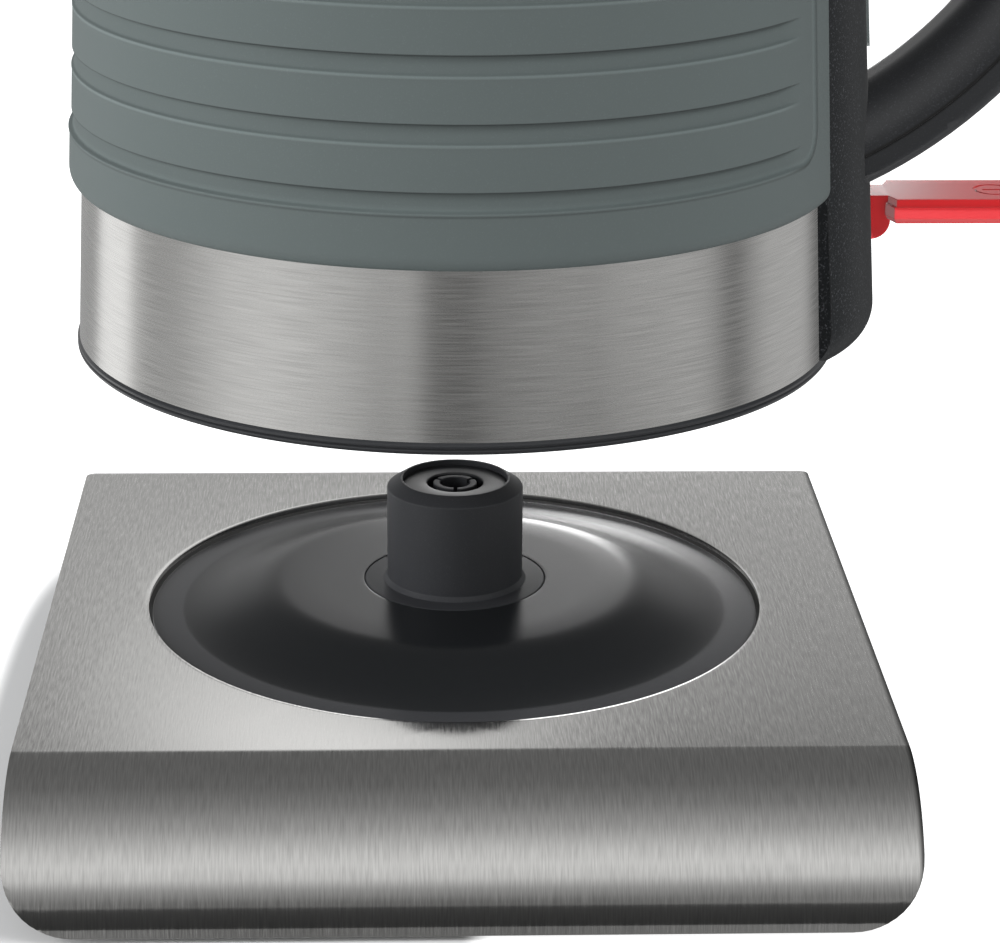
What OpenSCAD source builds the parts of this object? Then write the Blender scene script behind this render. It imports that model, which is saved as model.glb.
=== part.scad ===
// Cordless electric kettle: a jug with a D handle over a steel-topped power base.
// Millimetres. +Z is up, the origin is on the connector axis at table level,
// +X is the handle side and -Y is the rolled front edge of the base.

/* [Power base] */
// Width of the base from side to side
base_w = 160; // [152:1:175]
// Distance from the connector axis to the front bend
base_front = 72.2; // [70:0.2:80]
// Distance from the connector axis to the back edge of the sheet
base_back = 73.6; // [70:0.2:84]
// Height of the flat top above the table
base_h = 24.5; // [23:0.5:30]
// Thickness of the steel sheet
sheet_t = 1; // [0.8:0.1:1.4]
// Height of the sheet's lower front edge above the table
edge_lift = 1; // [0.6:0.1:1.6]
// Radius of the sheet's lower front corners
front_corner_r = 12.5; // [8:0.5:16]
// Radius of the sheet's back corners
back_corner_r = 2; // [1:0.5:6]
// How far the housing's sides stand back from the sheet's edges
side_inset = 2.5; // [1.5:0.5:5]
// Wall of the base housing
housing_wall = 2.2; // [1.6:0.2:3]
// Thickness of the bottom cover
cover_t = 2; // [1.6:0.2:2.6]
// Height of the rubber foot ring
foot_h = 1.5; // [1:0.1:2.5]
// Outer radius of the rubber foot ring
foot_r = 62; // [50:1:66]
// Width of the rubber foot ring
foot_w = 6; // [4:0.5:8]
// Radius of the cord's hole through the gland
cord_hole_r = 3.4; // [3:0.1:4]

/* [Dish and connector post] */
// Outer radius of the dish's flat ring
dish_r = 60.6; // [59:0.1:64]
// Inner radius of the dish's flat ring
dish_ring_in = 54; // [50:0.5:56]
// Radius where the dish's hill begins to fall
hill_r = 24; // [22:0.5:32]
// Radius where the hill's side becomes a straight slope
hill_bend = 37; // [34:0.5:44]
// Height of the hill above the flat top of the base
hill_rise = 5.2; // [3:0.1:5.6]
// Wall of the dish
dish_t = 2; // [1.4:0.1:2.4]
// Radius of the seam round the post's flange
flange_r = 17.9; // [16:0.1:20]
// Radius of the connector post
post_r = 13.4; // [12:0.1:14]
// Height of the post above the hill
post_h = 21; // [18:0.5:23]
// Height of the post's chamfer
post_chamfer = 1.7; // [1:0.1:2.2]
// Radius of the recess in the post's top
recess_r = 10.3; // [9:0.1:11]
// Radius of the hub in the middle of the post
hub_r = 4.3; // [3.8:0.1:4.8]
// Width of the contact groove round the hub
groove_gap = 1.2; // [1.1:0.1:1.8]
// Radius of the hole down the hub
hub_hole_r = 3; // [2.4:0.1:3.2]
// Thickness of the turning shutter ring
shutter_t = 2; // [1.5:0.1:2.6]

/* [Jug] */
// How far the jug is raised above its seat on the base
jug_raise = 55.9; // [0:0.1:90]
// Outer radius of the vessel at its foot
jug_r = 72.4; // [69:0.1:75]
// Outer radius of the vessel at its top
jug_top_r = 62.6; // [59:0.1:66]
// Height of the vessel's top edge above its foot
jug_h = 200; // [190:1:215]
// Wall of the steel vessel
wall = 0.8; // [0.6:0.1:1.2]
// Height of the heating plate's ledge
floor_h = 35; // [34:0.5:40]
// Width of the ledge that carries the heating plate
ledge_w = 8; // [6:0.5:12]
// Height of the black rim under the steel
rim_h = 2.2; // [1.8:0.1:3]
// Width of the ring that the jug stands on
rim_w = 6; // [5:0.5:8]
// Depth of the hollow under the jug
hollow_h = 6.2; // [5.6:0.1:7]
// Thickness of the bottom moulding
moulding_t = 2; // [1.6:0.1:2.4]

/* [Grip sleeve] */
// Thickness of the rubber sleeve
sleeve_t = 2.3; // [1.6:0.1:3]
// Height of the sleeve's lower edge
sleeve_low = 32.5; // [24:0.5:34]
// Distance from the vessel's top edge down to the sleeve's upper edge
sleeve_drop = 32; // [28:0.5:50]
// Height over which the sleeve's edges round off
sleeve_round = 5.4; // [2:0.2:6]
// Height of the middle of the lowest groove
groove_low = 44.6; // [42:0.2:52]
// Distance from the highest groove up to the sleeve's upper edge
groove_drop = 19.5; // [16:0.25:30]
// Height of one groove
groove_w = 3.4; // [2:0.1:4]
// Depth of one groove
groove_d = 0.7; // [0.4:0.1:1]
// Number of grooves
groove_count = 10; // [6:1:10]

/* [Handle column and water gauge] */
// Width of the column
column_w = 52; // [44:1:54]
// How far the column's face stands out from the vessel's foot
column_out = 8.7; // [7:0.1:11]
// How far the column's face stands out from the vessel's top edge
column_top_out = 4.3; // [3.5:0.1:6]
// Radius of the column's round front
column_round = 36; // [30:1:60]
// Radius of the column's lower corners
column_foot_r = 8; // [4:0.5:9]
// Wall of the column
column_wall = 2.2; // [1.6:0.1:2.6]
// Width of the water gauge
gauge_w = 6.8; // [6:0.1:9]
// Height of the gauge's lower end
gauge_low = 57; // [54:1:62]
// Distance from the vessel's top edge down to the gauge's upper end
gauge_drop = 35; // [33:1:60]
// Depth of the gauge's window from front to back
gauge_depth = 8.5; // [8:0.1:10]
// Radius of the gauge's float
float_r = 1.7; // [1.4:0.1:1.9]
// Length of the gauge's float
float_len = 8; // [5:0.5:12]

/* [Handle] */
// How far the handle stands out from the column's foot
handle_out = 46.8; // [42:0.1:52]
// Height of the lowest point of the handle's outer curve
handle_low = 22.7; // [20:0.1:26]
// Height of the highest point of the handle's outer curve above the vessel's top edge
handle_rise = 5.9; // [3:0.1:8]
// Thickness of the handle's outer strip
strip_t = 5.4; // [4:0.1:6]
// Thickness of the handle's inner shell
grip_t = 10.2; // [9:0.1:12]
// Width of the handle
handle_w = 26; // [22:0.5:26]
// Radius of the handle's inner edges
grip_round = 11; // [3:0.5:12]
// Radius of the handle's outer edges
strip_round = 2.6; // [1.5:0.1:2.6]
// Wall of the handle's inner shell
grip_wall = 2.6; // [2:0.1:3]

/* [Switch lever] */
// Height of the lever's pivot
pivot_h = 23.3; // [22:0.1:26]
// Radius of the lever's hub
lever_hub_r = 3.7; // [3.2:0.1:4]
// Length of the lever beyond its pivot
lever_len = 42; // [30:1:46]
// Width of the lever's bar
lever_w = 16; // [12:0.5:17]
// Width of the lever's root and hub
lever_root_w = 8.6; // [7:0.1:10]
// Thickness of the lever's bar
lever_t = 4.7; // [3.5:0.1:5]
// Height of the bar's top above the pivot
lever_rise = 5; // [4:0.1:5.4]
// Length of the lever's tail inside the jug
tail_len = 24; // [20:0.5:26]
// Radius of the lever's steel pin
lever_pin_r = 1.25; // [1:0.05:1.5]

/* [Lid, spout and filter] */
// Width of the collar's ledge inside the vessel
collar_in = 4.4; // [3.5:0.1:5]
// Thickness of the collar's outer skirt
collar_t = 1.6; // [1.2:0.1:2]
// Height of the collar above the vessel's edge
collar_h = 3; // [2.5:0.1:4]
// Height of the collar's outer skirt
skirt_h = 10; // [7:0.5:12]
// Rise of the lid's dome
dome_h = 4; // [2:0.1:5]
// Width of the lid's black border round its steel disc
disc_border = 15.5; // [13:0.5:25]
// Wall of the lid
lid_wall = 2.2; // [1.8:0.1:2.6]
// Distance from the vessel's top edge in to the lid's hinge
hinge_in = 5.6; // [5.2:0.1:6.6]
// Radius of the hinge's knuckles
knuckle_r = 3; // [2.6:0.1:3.1]
// Radius of the hinge pin
hinge_pin_r = 1.5; // [1.2:0.1:1.7]
// Distance from the vessel's top edge out to the centre of the spout's nose
nose_out = 13.4; // [11:0.1:16]
// Radius of the spout's nose
nose_r = 5.5; // [4.5:0.1:6.5]
// Angle of each spout side from the middle, in degrees
spout_half = 43; // [40:1:46]
// Height of the spout
spout_h = 34; // [32:1:34]
// Wall of the spout
spout_wall = 1.6; // [1.2:0.1:2]
// Height of the pouring window in the vessel
window_h = 16; // [12:1:18]
// Width of the pouring window in the vessel
window_w = 24; // [18:1:26]
// Thickness of the filter's frame
filter_t = 1.6; // [1.2:0.1:2]
// Thickness of the filter's mesh
mesh_t = 0.4; // [0.3:0.1:0.6]
// Length of the latch housing from front to back
latch_len = 21.5; // [19:0.5:26]
// Radius of the lid button
button_r = 6; // [5:0.1:6.5]
// How far the lid button stands proud
button_proud = 2.5; // [2.2:0.1:4]

/* [Fits] */
// Clearance between fixed pieces that sit together
seat = 0.1; // [0.05:0.01:0.15]
// Clearance between pieces that move apart
clear = 0.35; // [0.3:0.05:0.4]
// Radial clearance of a shaft that turns in a bore
running = 0.06; // [0.03:0.01:0.08]

/* [Hidden] */

$fn = 96;
eps = 0.01;                 // how far a cutting shape runs past a face
far = 260;                  // longer than any piece

// Heights in the base
roll_r = base_h - edge_lift;
sheet_low = base_h - sheet_t;
cover_top = foot_h + cover_t;
deck_top = sheet_low - seat;
flat_half = base_w / 2 - front_corner_r;
housing_front = base_front + roll_r - sheet_t - seat;
housing_back = base_back - 1.5;
dish_ring_z = base_h - 0.2;
dish_hole_r = dish_ring_in + 0.8;
hill_z = base_h + hill_rise;
hill_mid = (hill_r + hill_bend) / 2;
hill_slope = (hill_z - dish_ring_z) / (dish_ring_in - hill_mid);
post_top = hill_z + post_h;
flange_t = 2;
post_foot_z = hill_z - 4.7;
recess_floor = post_top - 3.1;
groove_depth = 10.7;
groove_floor = post_top - groove_depth;
hub_top = post_top - 1;
pin_contact_top = post_foot_z + 8;
ring_contact_t = 1.5;
screw_r = 1.6;
screw_bite = 6;             // how far a screw goes into its boss
screw_head_r = 3;
screw_spots = [[52, -50], [-52, -50], [52, 56], [-52, 56]];
floor_cut = edge_lift + side_inset + housing_wall + 1;
gland_z = (cover_top + deck_top) / 2 - 0.5;
gland_r = cord_hole_r + 2.2;
gland_len = 14;
block_r = 12;
wire_r = 1.2;
wire_pitch = 5;
terminal_y = 36;
terminal_size = [26, 12, 10];
clamp_size = [20, 8, 7];

// Heights in the jug, measured from the bottom of its rim
seat_gap = 0.3;
rim_r = jug_r + 0.2;
rim_taper = 2;              // slope inside the ring that the jug stands on
spigot_h = 12;              // height of the moulding's wall inside the vessel
spigot_t = 2;
screw_circle = 24;          // radius that the bottom screws stand on
jug_z = base_h + seat_gap + jug_raise;
moulding_top = hollow_h + moulding_t;
socket_r = post_r + 0.6;
socket_hole_r = socket_r + 2;
post_in_jug = post_top - base_h - seat_gap;
socket_top = post_in_jug + 1.2;
control_r = 30;
ledge_t = 1.2;
plate_low = floor_h + ledge_t + 1.5;
plate_t = 0.8;
spreader_t = 2.7;
spreader_r = 50;
control_top = plate_low - spreader_t - 3.9;
thermal_r = 9;
thermal_x = 16;
thermal_t = 0.6;
element_r = 38;
element_tube = 4;
element_z = plate_low - spreader_t - element_tube - 0.05;
element_gap = 50;
tail_r = 3;
tail_drop = 9;
collar_top = jug_h + collar_h;
collar_r = vessel_r(jug_h) + collar_t;
collar_bore = vessel_r(jug_h) - collar_in;
collar_lip = 6;
sleeve_high = jug_h - sleeve_drop;
groove_pitch = (sleeve_high - groove_drop - groove_low) / (groove_count - 1);
column_x = jug_r + column_out;
column_lean = atan((column_x - jug_top_r - column_top_out) / (jug_h + collar_h));
handle_r = (jug_h + handle_rise - handle_low) / 2;
handle_cz = handle_low + handle_r;
handle_cx = column_x + handle_out - handle_r;
handle_mid = handle_r - strip_t;
handle_in = handle_mid - grip_t;
handle_lap = 3.2;           // how far the handle's ends reach round the column's corners
gauge_chamber = 4.4;
gauge_top = jug_h - gauge_drop;
float_x = -4.4;
float_lift = 4;
pipe_y = 5.2;
pipe_r = 1.1;
pipe_drop = 12;
lamp_half = 5;
lamp_r = 1.5;
lamp_z = pivot_h + 12;
lamp_x = column_face(lamp_z) - column_wall - lamp_r - 0.6;
shoulder_x = column_face(pivot_h) - 0.2;
pivot_x = shoulder_x - 3.6;
root_len = 2.6;             // from the shoulder to where the bar widens
slot_low = pivot_h - 5.5;
slot_high = pivot_h + 6.5;
column_hollow_low = slot_high + 2;
control_slot = 8;
hinge_x = jug_top_r - hinge_in;
hinge_z = collar_top + 3.5;
lid_r = collar_bore - clear;
lid_low = collar_top - 7;
lid_flange_r = collar_bore + 2.3;
lid_flange_low = collar_top + clear;
lid_edge_top = lid_flange_low + 2.1;
lid_top = lid_edge_top + dome_h;
lid_back = hinge_x - 0.2;
disc_r = lid_flange_r - disc_border;
disc_t = 0.8;
ear_in = 14.4;
ear_t = 4;
nose_x = jug_top_r + nose_out;
nose_front = nose_x + 2 * nose_r;
lip_front_h = 6;            // height of the spout's side at its front
lip_back_h = 10;            // height of the spout's side lip_run in front of the nose's centre
lip_run = 2;
spout_low = collar_top - spout_h;
window_low = jug_h - 8 - window_h;
filter_low = window_low - 4;
filter_high = jug_h - collar_lip - clear;
filter_half = window_w / 2 + 1;
filter_edge = 2.5;
latch_x = [jug_top_r - 0.1, jug_top_r - 0.1 + latch_len];
latch_low = handle_cz + reach(handle_r, latch_x[1]) - 2.5;
latch_top = lid_top + 2.5;
button_x = latch_x[0] + 0.49 * latch_len;
button_len = 6.5;
button_top = latch_top + button_proud;
spring_len = 4.5;
spring_top = button_top - button_len;
spring_low = spring_top - spring_len;

black = "#1c1e20";
steel = "#b9b7b2";
rubber = "#66706d";
brass = "#c9a24a";
red = "#c8202a";

function vessel_r(z) = jug_r - (jug_r - jug_top_r) * z / jug_h;
function bore_r(z) = vessel_r(z) - wall;
function column_face(z) = column_x - tan(column_lean) * z;
function hill(r) = hill_z - hill_slope
    * (r < hill_r ? 0 : r < hill_bend ? pow(r - hill_r, 2) / (2 * (hill_bend - hill_r)) : r - hill_mid);
function dome(r) = lid_top - dome_h * pow(r / lid_flange_r, 2);
function reach(r, x) = sqrt(r * r - pow(x - handle_cx, 2));

// ---------- shared shapes ----------

// Extrudes a side view, drawn as (Y, Z), along X
module along_x(w) {
    translate([-w / 2, 0, 0]) rotate([90, 0, 90]) linear_extrude(w) children();
}

// Extrudes a front view, drawn as (X, Z), along Y
module along_y(w) {
    translate([0, w / 2, 0]) rotate([90, 0, 0]) linear_extrude(w) children();
}

// A rectangle from corner a to corner b with every corner rounded
module soft_rect(a, b, r) {
    translate([a[0] + r, a[1]]) square([b[0] - a[0] - 2 * r, b[1] - a[1]]);
    translate([a[0], a[1] + r]) square([b[0] - a[0], b[1] - a[1] - 2 * r]);
    for (x = [a[0] + r, b[0] - r], y = [a[1] + r, b[1] - r]) translate([x, y]) circle(r);
}

// Puts a jug piece at the jug's height
module on_jug() {
    translate([0, 0, jug_z]) children();
}

// A box given by its lowest and highest corner
module block(low, high) {
    translate(low) cube([high[0] - low[0], high[1] - low[1], high[2] - low[2]]);
}

// A tube standing at height z
module tube(r_in, r_out, z, h) {
    translate([0, 0, z]) difference() {
        cylinder(r = r_out, h = h);
        translate([0, 0, -1]) cylinder(r = r_in, h = h + 2);
    }
}

// A rod along Y from y0 to y1
module rod_y(r, x, z, y0, y1) {
    translate([x, y1, z]) rotate([90, 0, 0]) cylinder(r = r, h = y1 - y0);
}

// ---------- power base ----------

// Side view of the base: a flat top that rolls down through a quarter circle
module base_section(inset) {
    intersection() {
        translate([-base_front, edge_lift]) circle(roll_r - inset);
        translate([-base_front - roll_r, edge_lift]) square([roll_r + eps, roll_r]);
    }
    translate([-base_front, edge_lift]) square([base_front + base_back, roll_r - inset]);
}

// Front view of the base with its lower corners rounded
module base_front_view(inset) {
    r = front_corner_r - inset;
    translate([-base_w / 2 + inset, edge_lift + front_corner_r])
        square([base_w - 2 * inset, base_h]);
    translate([-flat_half, edge_lift + inset]) square([2 * flat_half, base_h]);
    for (s = [-1, 1]) translate([s * flat_half, edge_lift + front_corner_r]) circle(r);
}

module base_plate() {
    color(steel) difference() {
        intersection() {
            along_x(base_w) base_section(0);
            along_y(2 * far) base_front_view(0);
            linear_extrude(far) soft_rect([-base_w / 2, -far / 2], [base_w / 2, base_back], back_corner_r);
        }
        along_x(far) {
            base_section(sheet_t);
            translate([-base_front - roll_r + sheet_t, -1])
                square([base_front + base_back + roll_r, edge_lift + 1 + eps]);
            translate([-base_front, edge_lift]) square([far, roll_r - sheet_t]);
        }
        cylinder(r = dish_r + clear, h = far);
    }
}

module housing_body(inset) {
    intersection() {
        along_x(base_w) base_section(sheet_t + seat + inset);
        along_y(2 * far) base_front_view(side_inset + inset);
        block([-far, -far, cover_top], [far, housing_back - inset, far]);
    }
}

// Puts a shape at each of the base's screws
module at_base_screws() {
    for (p = screw_spots) translate([p[0], p[1], 0]) children();
}

module base_housing() {
    color(black) difference() {
        union() {
            difference() {
                housing_body(0);
                translate([0, 0, -eps]) housing_body(housing_wall);
                block([-flat_half + 6, -housing_front + 4, 0],
                    [flat_half - 6, housing_back - housing_wall, floor_cut]);
            }
            at_base_screws() translate([0, 0, cover_top]) cylinder(r = 4, h = deck_top - cover_top);
        }
        cylinder(r = dish_hole_r, h = far);
        at_base_screws() cylinder(r = screw_r + seat, h = cover_top + screw_bite + 1);
        rod_y(gland_r + seat, 0, gland_z, housing_back - 10, far);
    }
}

module base_cover() {
    color(black) difference() {
        translate([0, 0, foot_h]) linear_extrude(cover_t)
            soft_rect([-flat_half, -base_front - roll_r + 4], [flat_half, housing_back], 4);
        at_base_screws() {
            cylinder(r = screw_r + seat, h = far);
            cylinder(r = screw_head_r + 0.2, h = foot_h + 1);
        }
    }
}

module foot_ring() {
    color(rubber) tube(foot_r - foot_w, foot_r, 0, foot_h);
}

module base_screws() {
    color(steel) at_base_screws() {
        translate([0, 0, foot_h - 0.3]) cylinder(r = screw_head_r, h = 1.3);
        translate([0, 0, foot_h + 1]) cylinder(r = screw_r, h = cover_t + screw_bite - 1);
    }
}

module cord_gland() {
    color(black) difference() {
        union() {
            rod_y(gland_r, 0, gland_z, housing_back - gland_len + 2, housing_back + 2);
            rod_y(gland_r + 1.6, 0, gland_z, housing_back, housing_back + 2);
        }
        rod_y(cord_hole_r, 0, gland_z, 0, far);
    }
}

module cord_clamp() {
    y = housing_back - gland_len - clamp_size[1];
    color(black) difference() {
        block([-clamp_size[0] / 2, y, cover_top], [clamp_size[0] / 2, y + clamp_size[1], gland_z + 1]);
        rod_y(cord_hole_r, 0, gland_z, 0, far);
    }
}

module terminal_block() {
    s = terminal_size;
    color("#d8d4c8")
        block([-s[0] / 2, terminal_y, cover_top], [s[0] / 2, terminal_y + s[1], cover_top + s[2]]);
}

module base_wires() {
    for (i = [-1, 0, 1]) {
        nearest = max(0, wire_pitch * abs(i) - wire_r);
        start = sqrt(block_r * block_r - nearest * nearest) + seat;
        color(["#6b4a2a", "#2f7d3a", "#2a4a9a"][i + 1])
            rod_y(wire_r, wire_pitch * i, cover_top + 5, start, terminal_y);
    }
}

module base_dish() {
    steps = 14;
    span = dish_ring_in - flange_r - seat;
    top = [for (i = [0:steps]) let (r = flange_r + seat + span * i / steps) [r, hill(r)]];
    under = [for (i = [steps:-1:0])
        let (r = flange_r + seat + (span - 1.4) * i / steps) [r, hill(r) - dish_t]];
    color(black) rotate_extrude() polygon(concat(
        top,
        [[dish_r - 0.6, dish_ring_z], [dish_r, dish_ring_z - 0.4], [dish_r, deck_top],
            [dish_hole_r - 0.6, deck_top]],
        under
    ));
}

module connector_post() {
    color(black) difference() {
        rotate_extrude() polygon([
            [hub_hole_r, post_foot_z], [block_r, post_foot_z], [block_r, hill_z - flange_t],
            [flange_r, hill_z - flange_t], [flange_r, hill_z], [post_r + 0.7, hill_z],
            [post_r, hill_z + 0.9], [post_r, post_top - post_chamfer],
            [recess_r + 0.5, post_top], [recess_r, post_top], [recess_r, recess_floor],
            [hub_r + groove_gap, recess_floor], [hub_r + groove_gap, groove_floor], [hub_r, groove_floor],
            [hub_r, hub_top], [hub_hole_r, hub_top]
        ]);
        for (a = [30, 150, 270]) rotate(a) translate([hub_hole_r - 0.5, -0.4, hub_top - 1]) cube([3, 0.8, 2]);
    }
}

module contact_block() {
    color("#d8d4c8") translate([0, 0, cover_top]) cylinder(r = block_r, h = post_foot_z - cover_top);
}

module base_pin_contact() {
    color(brass) translate([0, 0, post_foot_z])
        cylinder(r = hub_hole_r - seat, h = pin_contact_top - post_foot_z);
}

module base_ring_contact() {
    color(brass) tube(hub_r + seat, hub_r + groove_gap - seat, groove_floor, ring_contact_t);
}

module shutter_ring() {
    color(black) tube(hub_r + groove_gap, recess_r - running, recess_floor + seat, shutter_t);
}

// ---------- jug: heating and control ----------

module bottom_moulding() {
    color(black) on_jug() difference() {
        rotate_extrude() polygon([
            [socket_hole_r, hollow_h], [rim_r - rim_w - rim_taper, hollow_h],
            [rim_r - rim_w, hollow_h - rim_taper],
            [rim_r - rim_w, 0], [rim_r - 0.5, 0], [rim_r, 0.25 * rim_h], [rim_r, 0.4 * rim_h],
            [rim_r - 0.5, 0.5 * rim_h], [rim_r, 0.6 * rim_h], [rim_r, 0.8 * rim_h], [rim_r - 0.4, rim_h],
            [bore_r(rim_h) - seat, rim_h], [bore_r(spigot_h) - seat, spigot_h],
            [bore_r(spigot_h) - spigot_t, spigot_h], [bore_r(spigot_h) - 1.5 * spigot_t, moulding_top],
            [socket_hole_r, moulding_top]
        ]);
        for (a = [90, 210, 330]) rotate(a) translate([screw_circle, 0, 0]) {
            cylinder(r = screw_r + seat, h = spigot_h);
            cylinder(r = screw_head_r + 0.2, h = hollow_h + 1);
        }
    }
}

module bottom_screws() {
    color(steel) on_jug() for (a = [90, 210, 330]) rotate(a) translate([screw_circle, 0, 0]) {
        translate([0, 0, hollow_h]) cylinder(r = screw_head_r, h = 1);
        translate([0, 0, hollow_h + 1]) cylinder(r = screw_r, h = moulding_t + screw_bite - 1);
    }
}

module control_unit() {
    color("#e2dfd6") on_jug() difference() {
        translate([0, 0, moulding_top]) cylinder(r = control_r, h = control_top - moulding_top);
        cylinder(r = socket_r, h = socket_top);
        for (a = [90, 210, 330]) rotate(a) translate([screw_circle, 0, 0])
            cylinder(r = screw_r + seat, h = moulding_top + screw_bite + seat);
        block([socket_hole_r, -control_slot, moulding_top + 2],
            [control_r + 1, control_slot, control_top + 1]);
    }
}

module jug_pin_contact() {
    tip = pin_contact_top - base_h - seat_gap + clear;
    color(brass) on_jug() translate([0, 0, tip]) cylinder(r = 1.6, h = socket_top - tip);
}

module jug_ring_contact() {
    tip = groove_floor + ring_contact_t - base_h - seat_gap + clear;
    color(brass) on_jug() tube(hub_r + 0.32, hub_r + groove_gap - 0.32, tip, socket_top - tip);
}

module thermal_disc() {
    color(steel) on_jug() translate([-thermal_x, 0, control_top]) cylinder(r = thermal_r, h = thermal_t);
}

module heating_element() {
    color("#8d8f90") on_jug() {
        rotate(180 + element_gap / 2) rotate_extrude(angle = 360 - element_gap)
            translate([element_r, 0]) translate([0, element_z]) circle(element_tube, $fn = 48);
        for (s = [-1, 1]) rotate(180 + s * element_gap / 2) translate([element_r, 0, element_z - tail_drop])
            cylinder(r = tail_r, h = tail_drop);
    }
}

module element_leads() {
    color(brass) on_jug() for (s = [-1, 1]) rotate(180 + s * element_gap / 2)
        translate([control_r, 0, element_z - tail_drop + 2]) rotate([0, 90, 0])
            cylinder(r = wire_r, h = element_r - tail_r - control_r);
}

module heat_spreader() {
    color("#c9cbcd") on_jug() translate([0, 0, plate_low - spreader_t])
        cylinder(r = spreader_r, h = spreader_t);
}

module heating_plate() {
    color(steel) on_jug() translate([0, 0, plate_low]) cylinder(r = bore_r(plate_low) - 0.6, h = plate_t);
}

module plate_seal() {
    low = floor_h + ledge_t;
    color("#b04a3c") on_jug() rotate_extrude() polygon([
        [bore_r(floor_h) - ledge_w + 0.4, low], [bore_r(low) - seat, low],
        [bore_r(plate_low + plate_t) - seat, plate_low + plate_t],
        [bore_r(plate_low) - 0.5, plate_low + plate_t],
        [bore_r(plate_low) - 0.5, plate_low], [bore_r(floor_h) - ledge_w + 0.4, plate_low]
    ]);
}

// ---------- jug: vessel and sleeve ----------

module jug_shell() {
    ledge_r = bore_r(floor_h) - ledge_w;
    color(steel) on_jug() difference() {
        rotate_extrude() polygon([
            [vessel_r(rim_h), rim_h], [vessel_r(jug_h), jug_h], [bore_r(jug_h), jug_h],
            [bore_r(floor_h + ledge_t), floor_h + ledge_t], [ledge_r, floor_h + ledge_t], [ledge_r, floor_h],
            [bore_r(floor_h), floor_h], [bore_r(rim_h), rim_h]
        ]);
        block([0, -lever_root_w / 2 - clear, slot_low], [far, lever_root_w / 2 + clear, slot_high]);
        block([0, -gauge_w / 2 - seat, gauge_low - 1], [far, gauge_w / 2 + seat, gauge_top + 1]);
        block([-far, -window_w / 2, window_low], [0, window_w / 2, window_low + window_h]);
        translate([0, pipe_y, jug_h - pipe_drop - 2]) rotate([0, 90, 0]) cylinder(r = pipe_r + 0.5, h = far);
    }
}

module grip_sleeve() {
    inner = seat / 2;
    low_edge = [for (a = [0:15:90])
        let (z = sleeve_low + sleeve_round * (1 - cos(a))) [vessel_r(z) + inner + sleeve_t * sin(a), z]];
    high_edge = [for (a = [90:-15:0])
        let (z = sleeve_high - sleeve_round * (1 - cos(a))) [vessel_r(z) + inner + sleeve_t * sin(a), z]];
    grooves = [for (i = [0:groove_count - 1], k = [[-0.5, 0], [-0.36, 1], [0.36, 1], [0.5, 0]])
        let (z = groove_low + i * groove_pitch + k[0] * groove_w)
            [vessel_r(z) + inner + sleeve_t - k[1] * groove_d, z]];
    color(rubber) on_jug() difference() {
        rotate_extrude() polygon(concat(low_edge, grooves, high_edge));
        column_bar(-clear / 2, -far, far);
    }
}

// ---------- jug: column, gauge and handle ----------

// Moves a piece into the column's own leaning frame: x = 0 is its outer face
module lean() {
    translate([column_x, 0, 0]) rotate([0, -column_lean, 0]) children();
}

// The column's bar without its hollow; inset moves its faces inwards
module column_bar(inset, low, high) {
    depth = 30;
    lean() translate([-depth, 0, low]) linear_extrude(high - low) intersection() {
        translate([0, -column_w / 2 + inset]) square([depth, column_w - 2 * inset]);
        translate([depth - column_round, 0]) circle(column_round - inset, $fn = 256);
    }
}

// Everything the vessel, its rim and its collar take up, with a margin
module vessel_space(margin) {
    rotate_extrude() polygon([
        [0, -1], [rim_r + margin, -1], [rim_r + margin, rim_h + margin],
        [vessel_r(rim_h) + margin, rim_h + margin],
        [vessel_r(jug_h - skirt_h) + margin, jug_h - skirt_h - margin],
        [collar_r + margin + 0.4, jug_h - skirt_h - margin],
        [collar_r + margin, collar_top + margin], [0, collar_top + margin]
    ]);
}

module handle_column() {
    color(black) on_jug() difference() {
        intersection() {
            column_bar(0, -far, collar_top + far);
            block([0, -far, 0], [far, far, collar_top]);
            along_y(far) soft_rect([0, 0], [column_x - 0.1, far], column_foot_r);
            along_x(2 * far) soft_rect([-column_w / 2 - eps, 0], [column_w / 2 + eps, far], column_foot_r);
        }
        vessel_space(seat);
        intersection() {
            column_bar(column_wall, -10, collar_top);
            block([0, -far, column_hollow_low], [far, far, latch_low]);
        }
        lean() block([-6, -gauge_w / 2 - seat, gauge_low - seat], [6, gauge_w / 2 + seat, gauge_top + seat]);
        block([0, -lever_root_w / 2 - clear, slot_low], [far, lever_root_w / 2 + clear, slot_high]);
        rod_y(lever_pin_r + 0.02, pivot_x, pivot_h, -lever_root_w - 0.2, lever_root_w + 0.2);
        handle_screw_holes(screw_r + seat);
    }
}

// Two screws that tie the handle's ends to the column
module handle_screw_holes(r) {
    middle = handle_mid - grip_t / 2;
    for (s = [-1, 1]) {
        x0 = column_face(handle_cz + s * 0.8 * middle);
        z = handle_cz + s * reach(middle, x0 + 4);
        translate([x0 - column_wall - 1, 0, z]) rotate([0, 90, 0])
            cylinder(r = r, h = column_wall + screw_bite);
    }
}

module column_screws() {
    color(steel) on_jug() handle_screw_holes(screw_r);
}

module steam_pipe() {
    low = lamp_z + lamp_r + 1;
    high = jug_h - pipe_drop;
    color("#e2dfd6") on_jug() lean() translate([-column_wall - pipe_r - 0.55, pipe_y, low]) difference() {
        cylinder(r = pipe_r, h = high - low, $fn = 32);
        translate([0, 0, -1]) cylinder(r = 0.6 * pipe_r, h = high, $fn = 32);
    }
}

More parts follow.
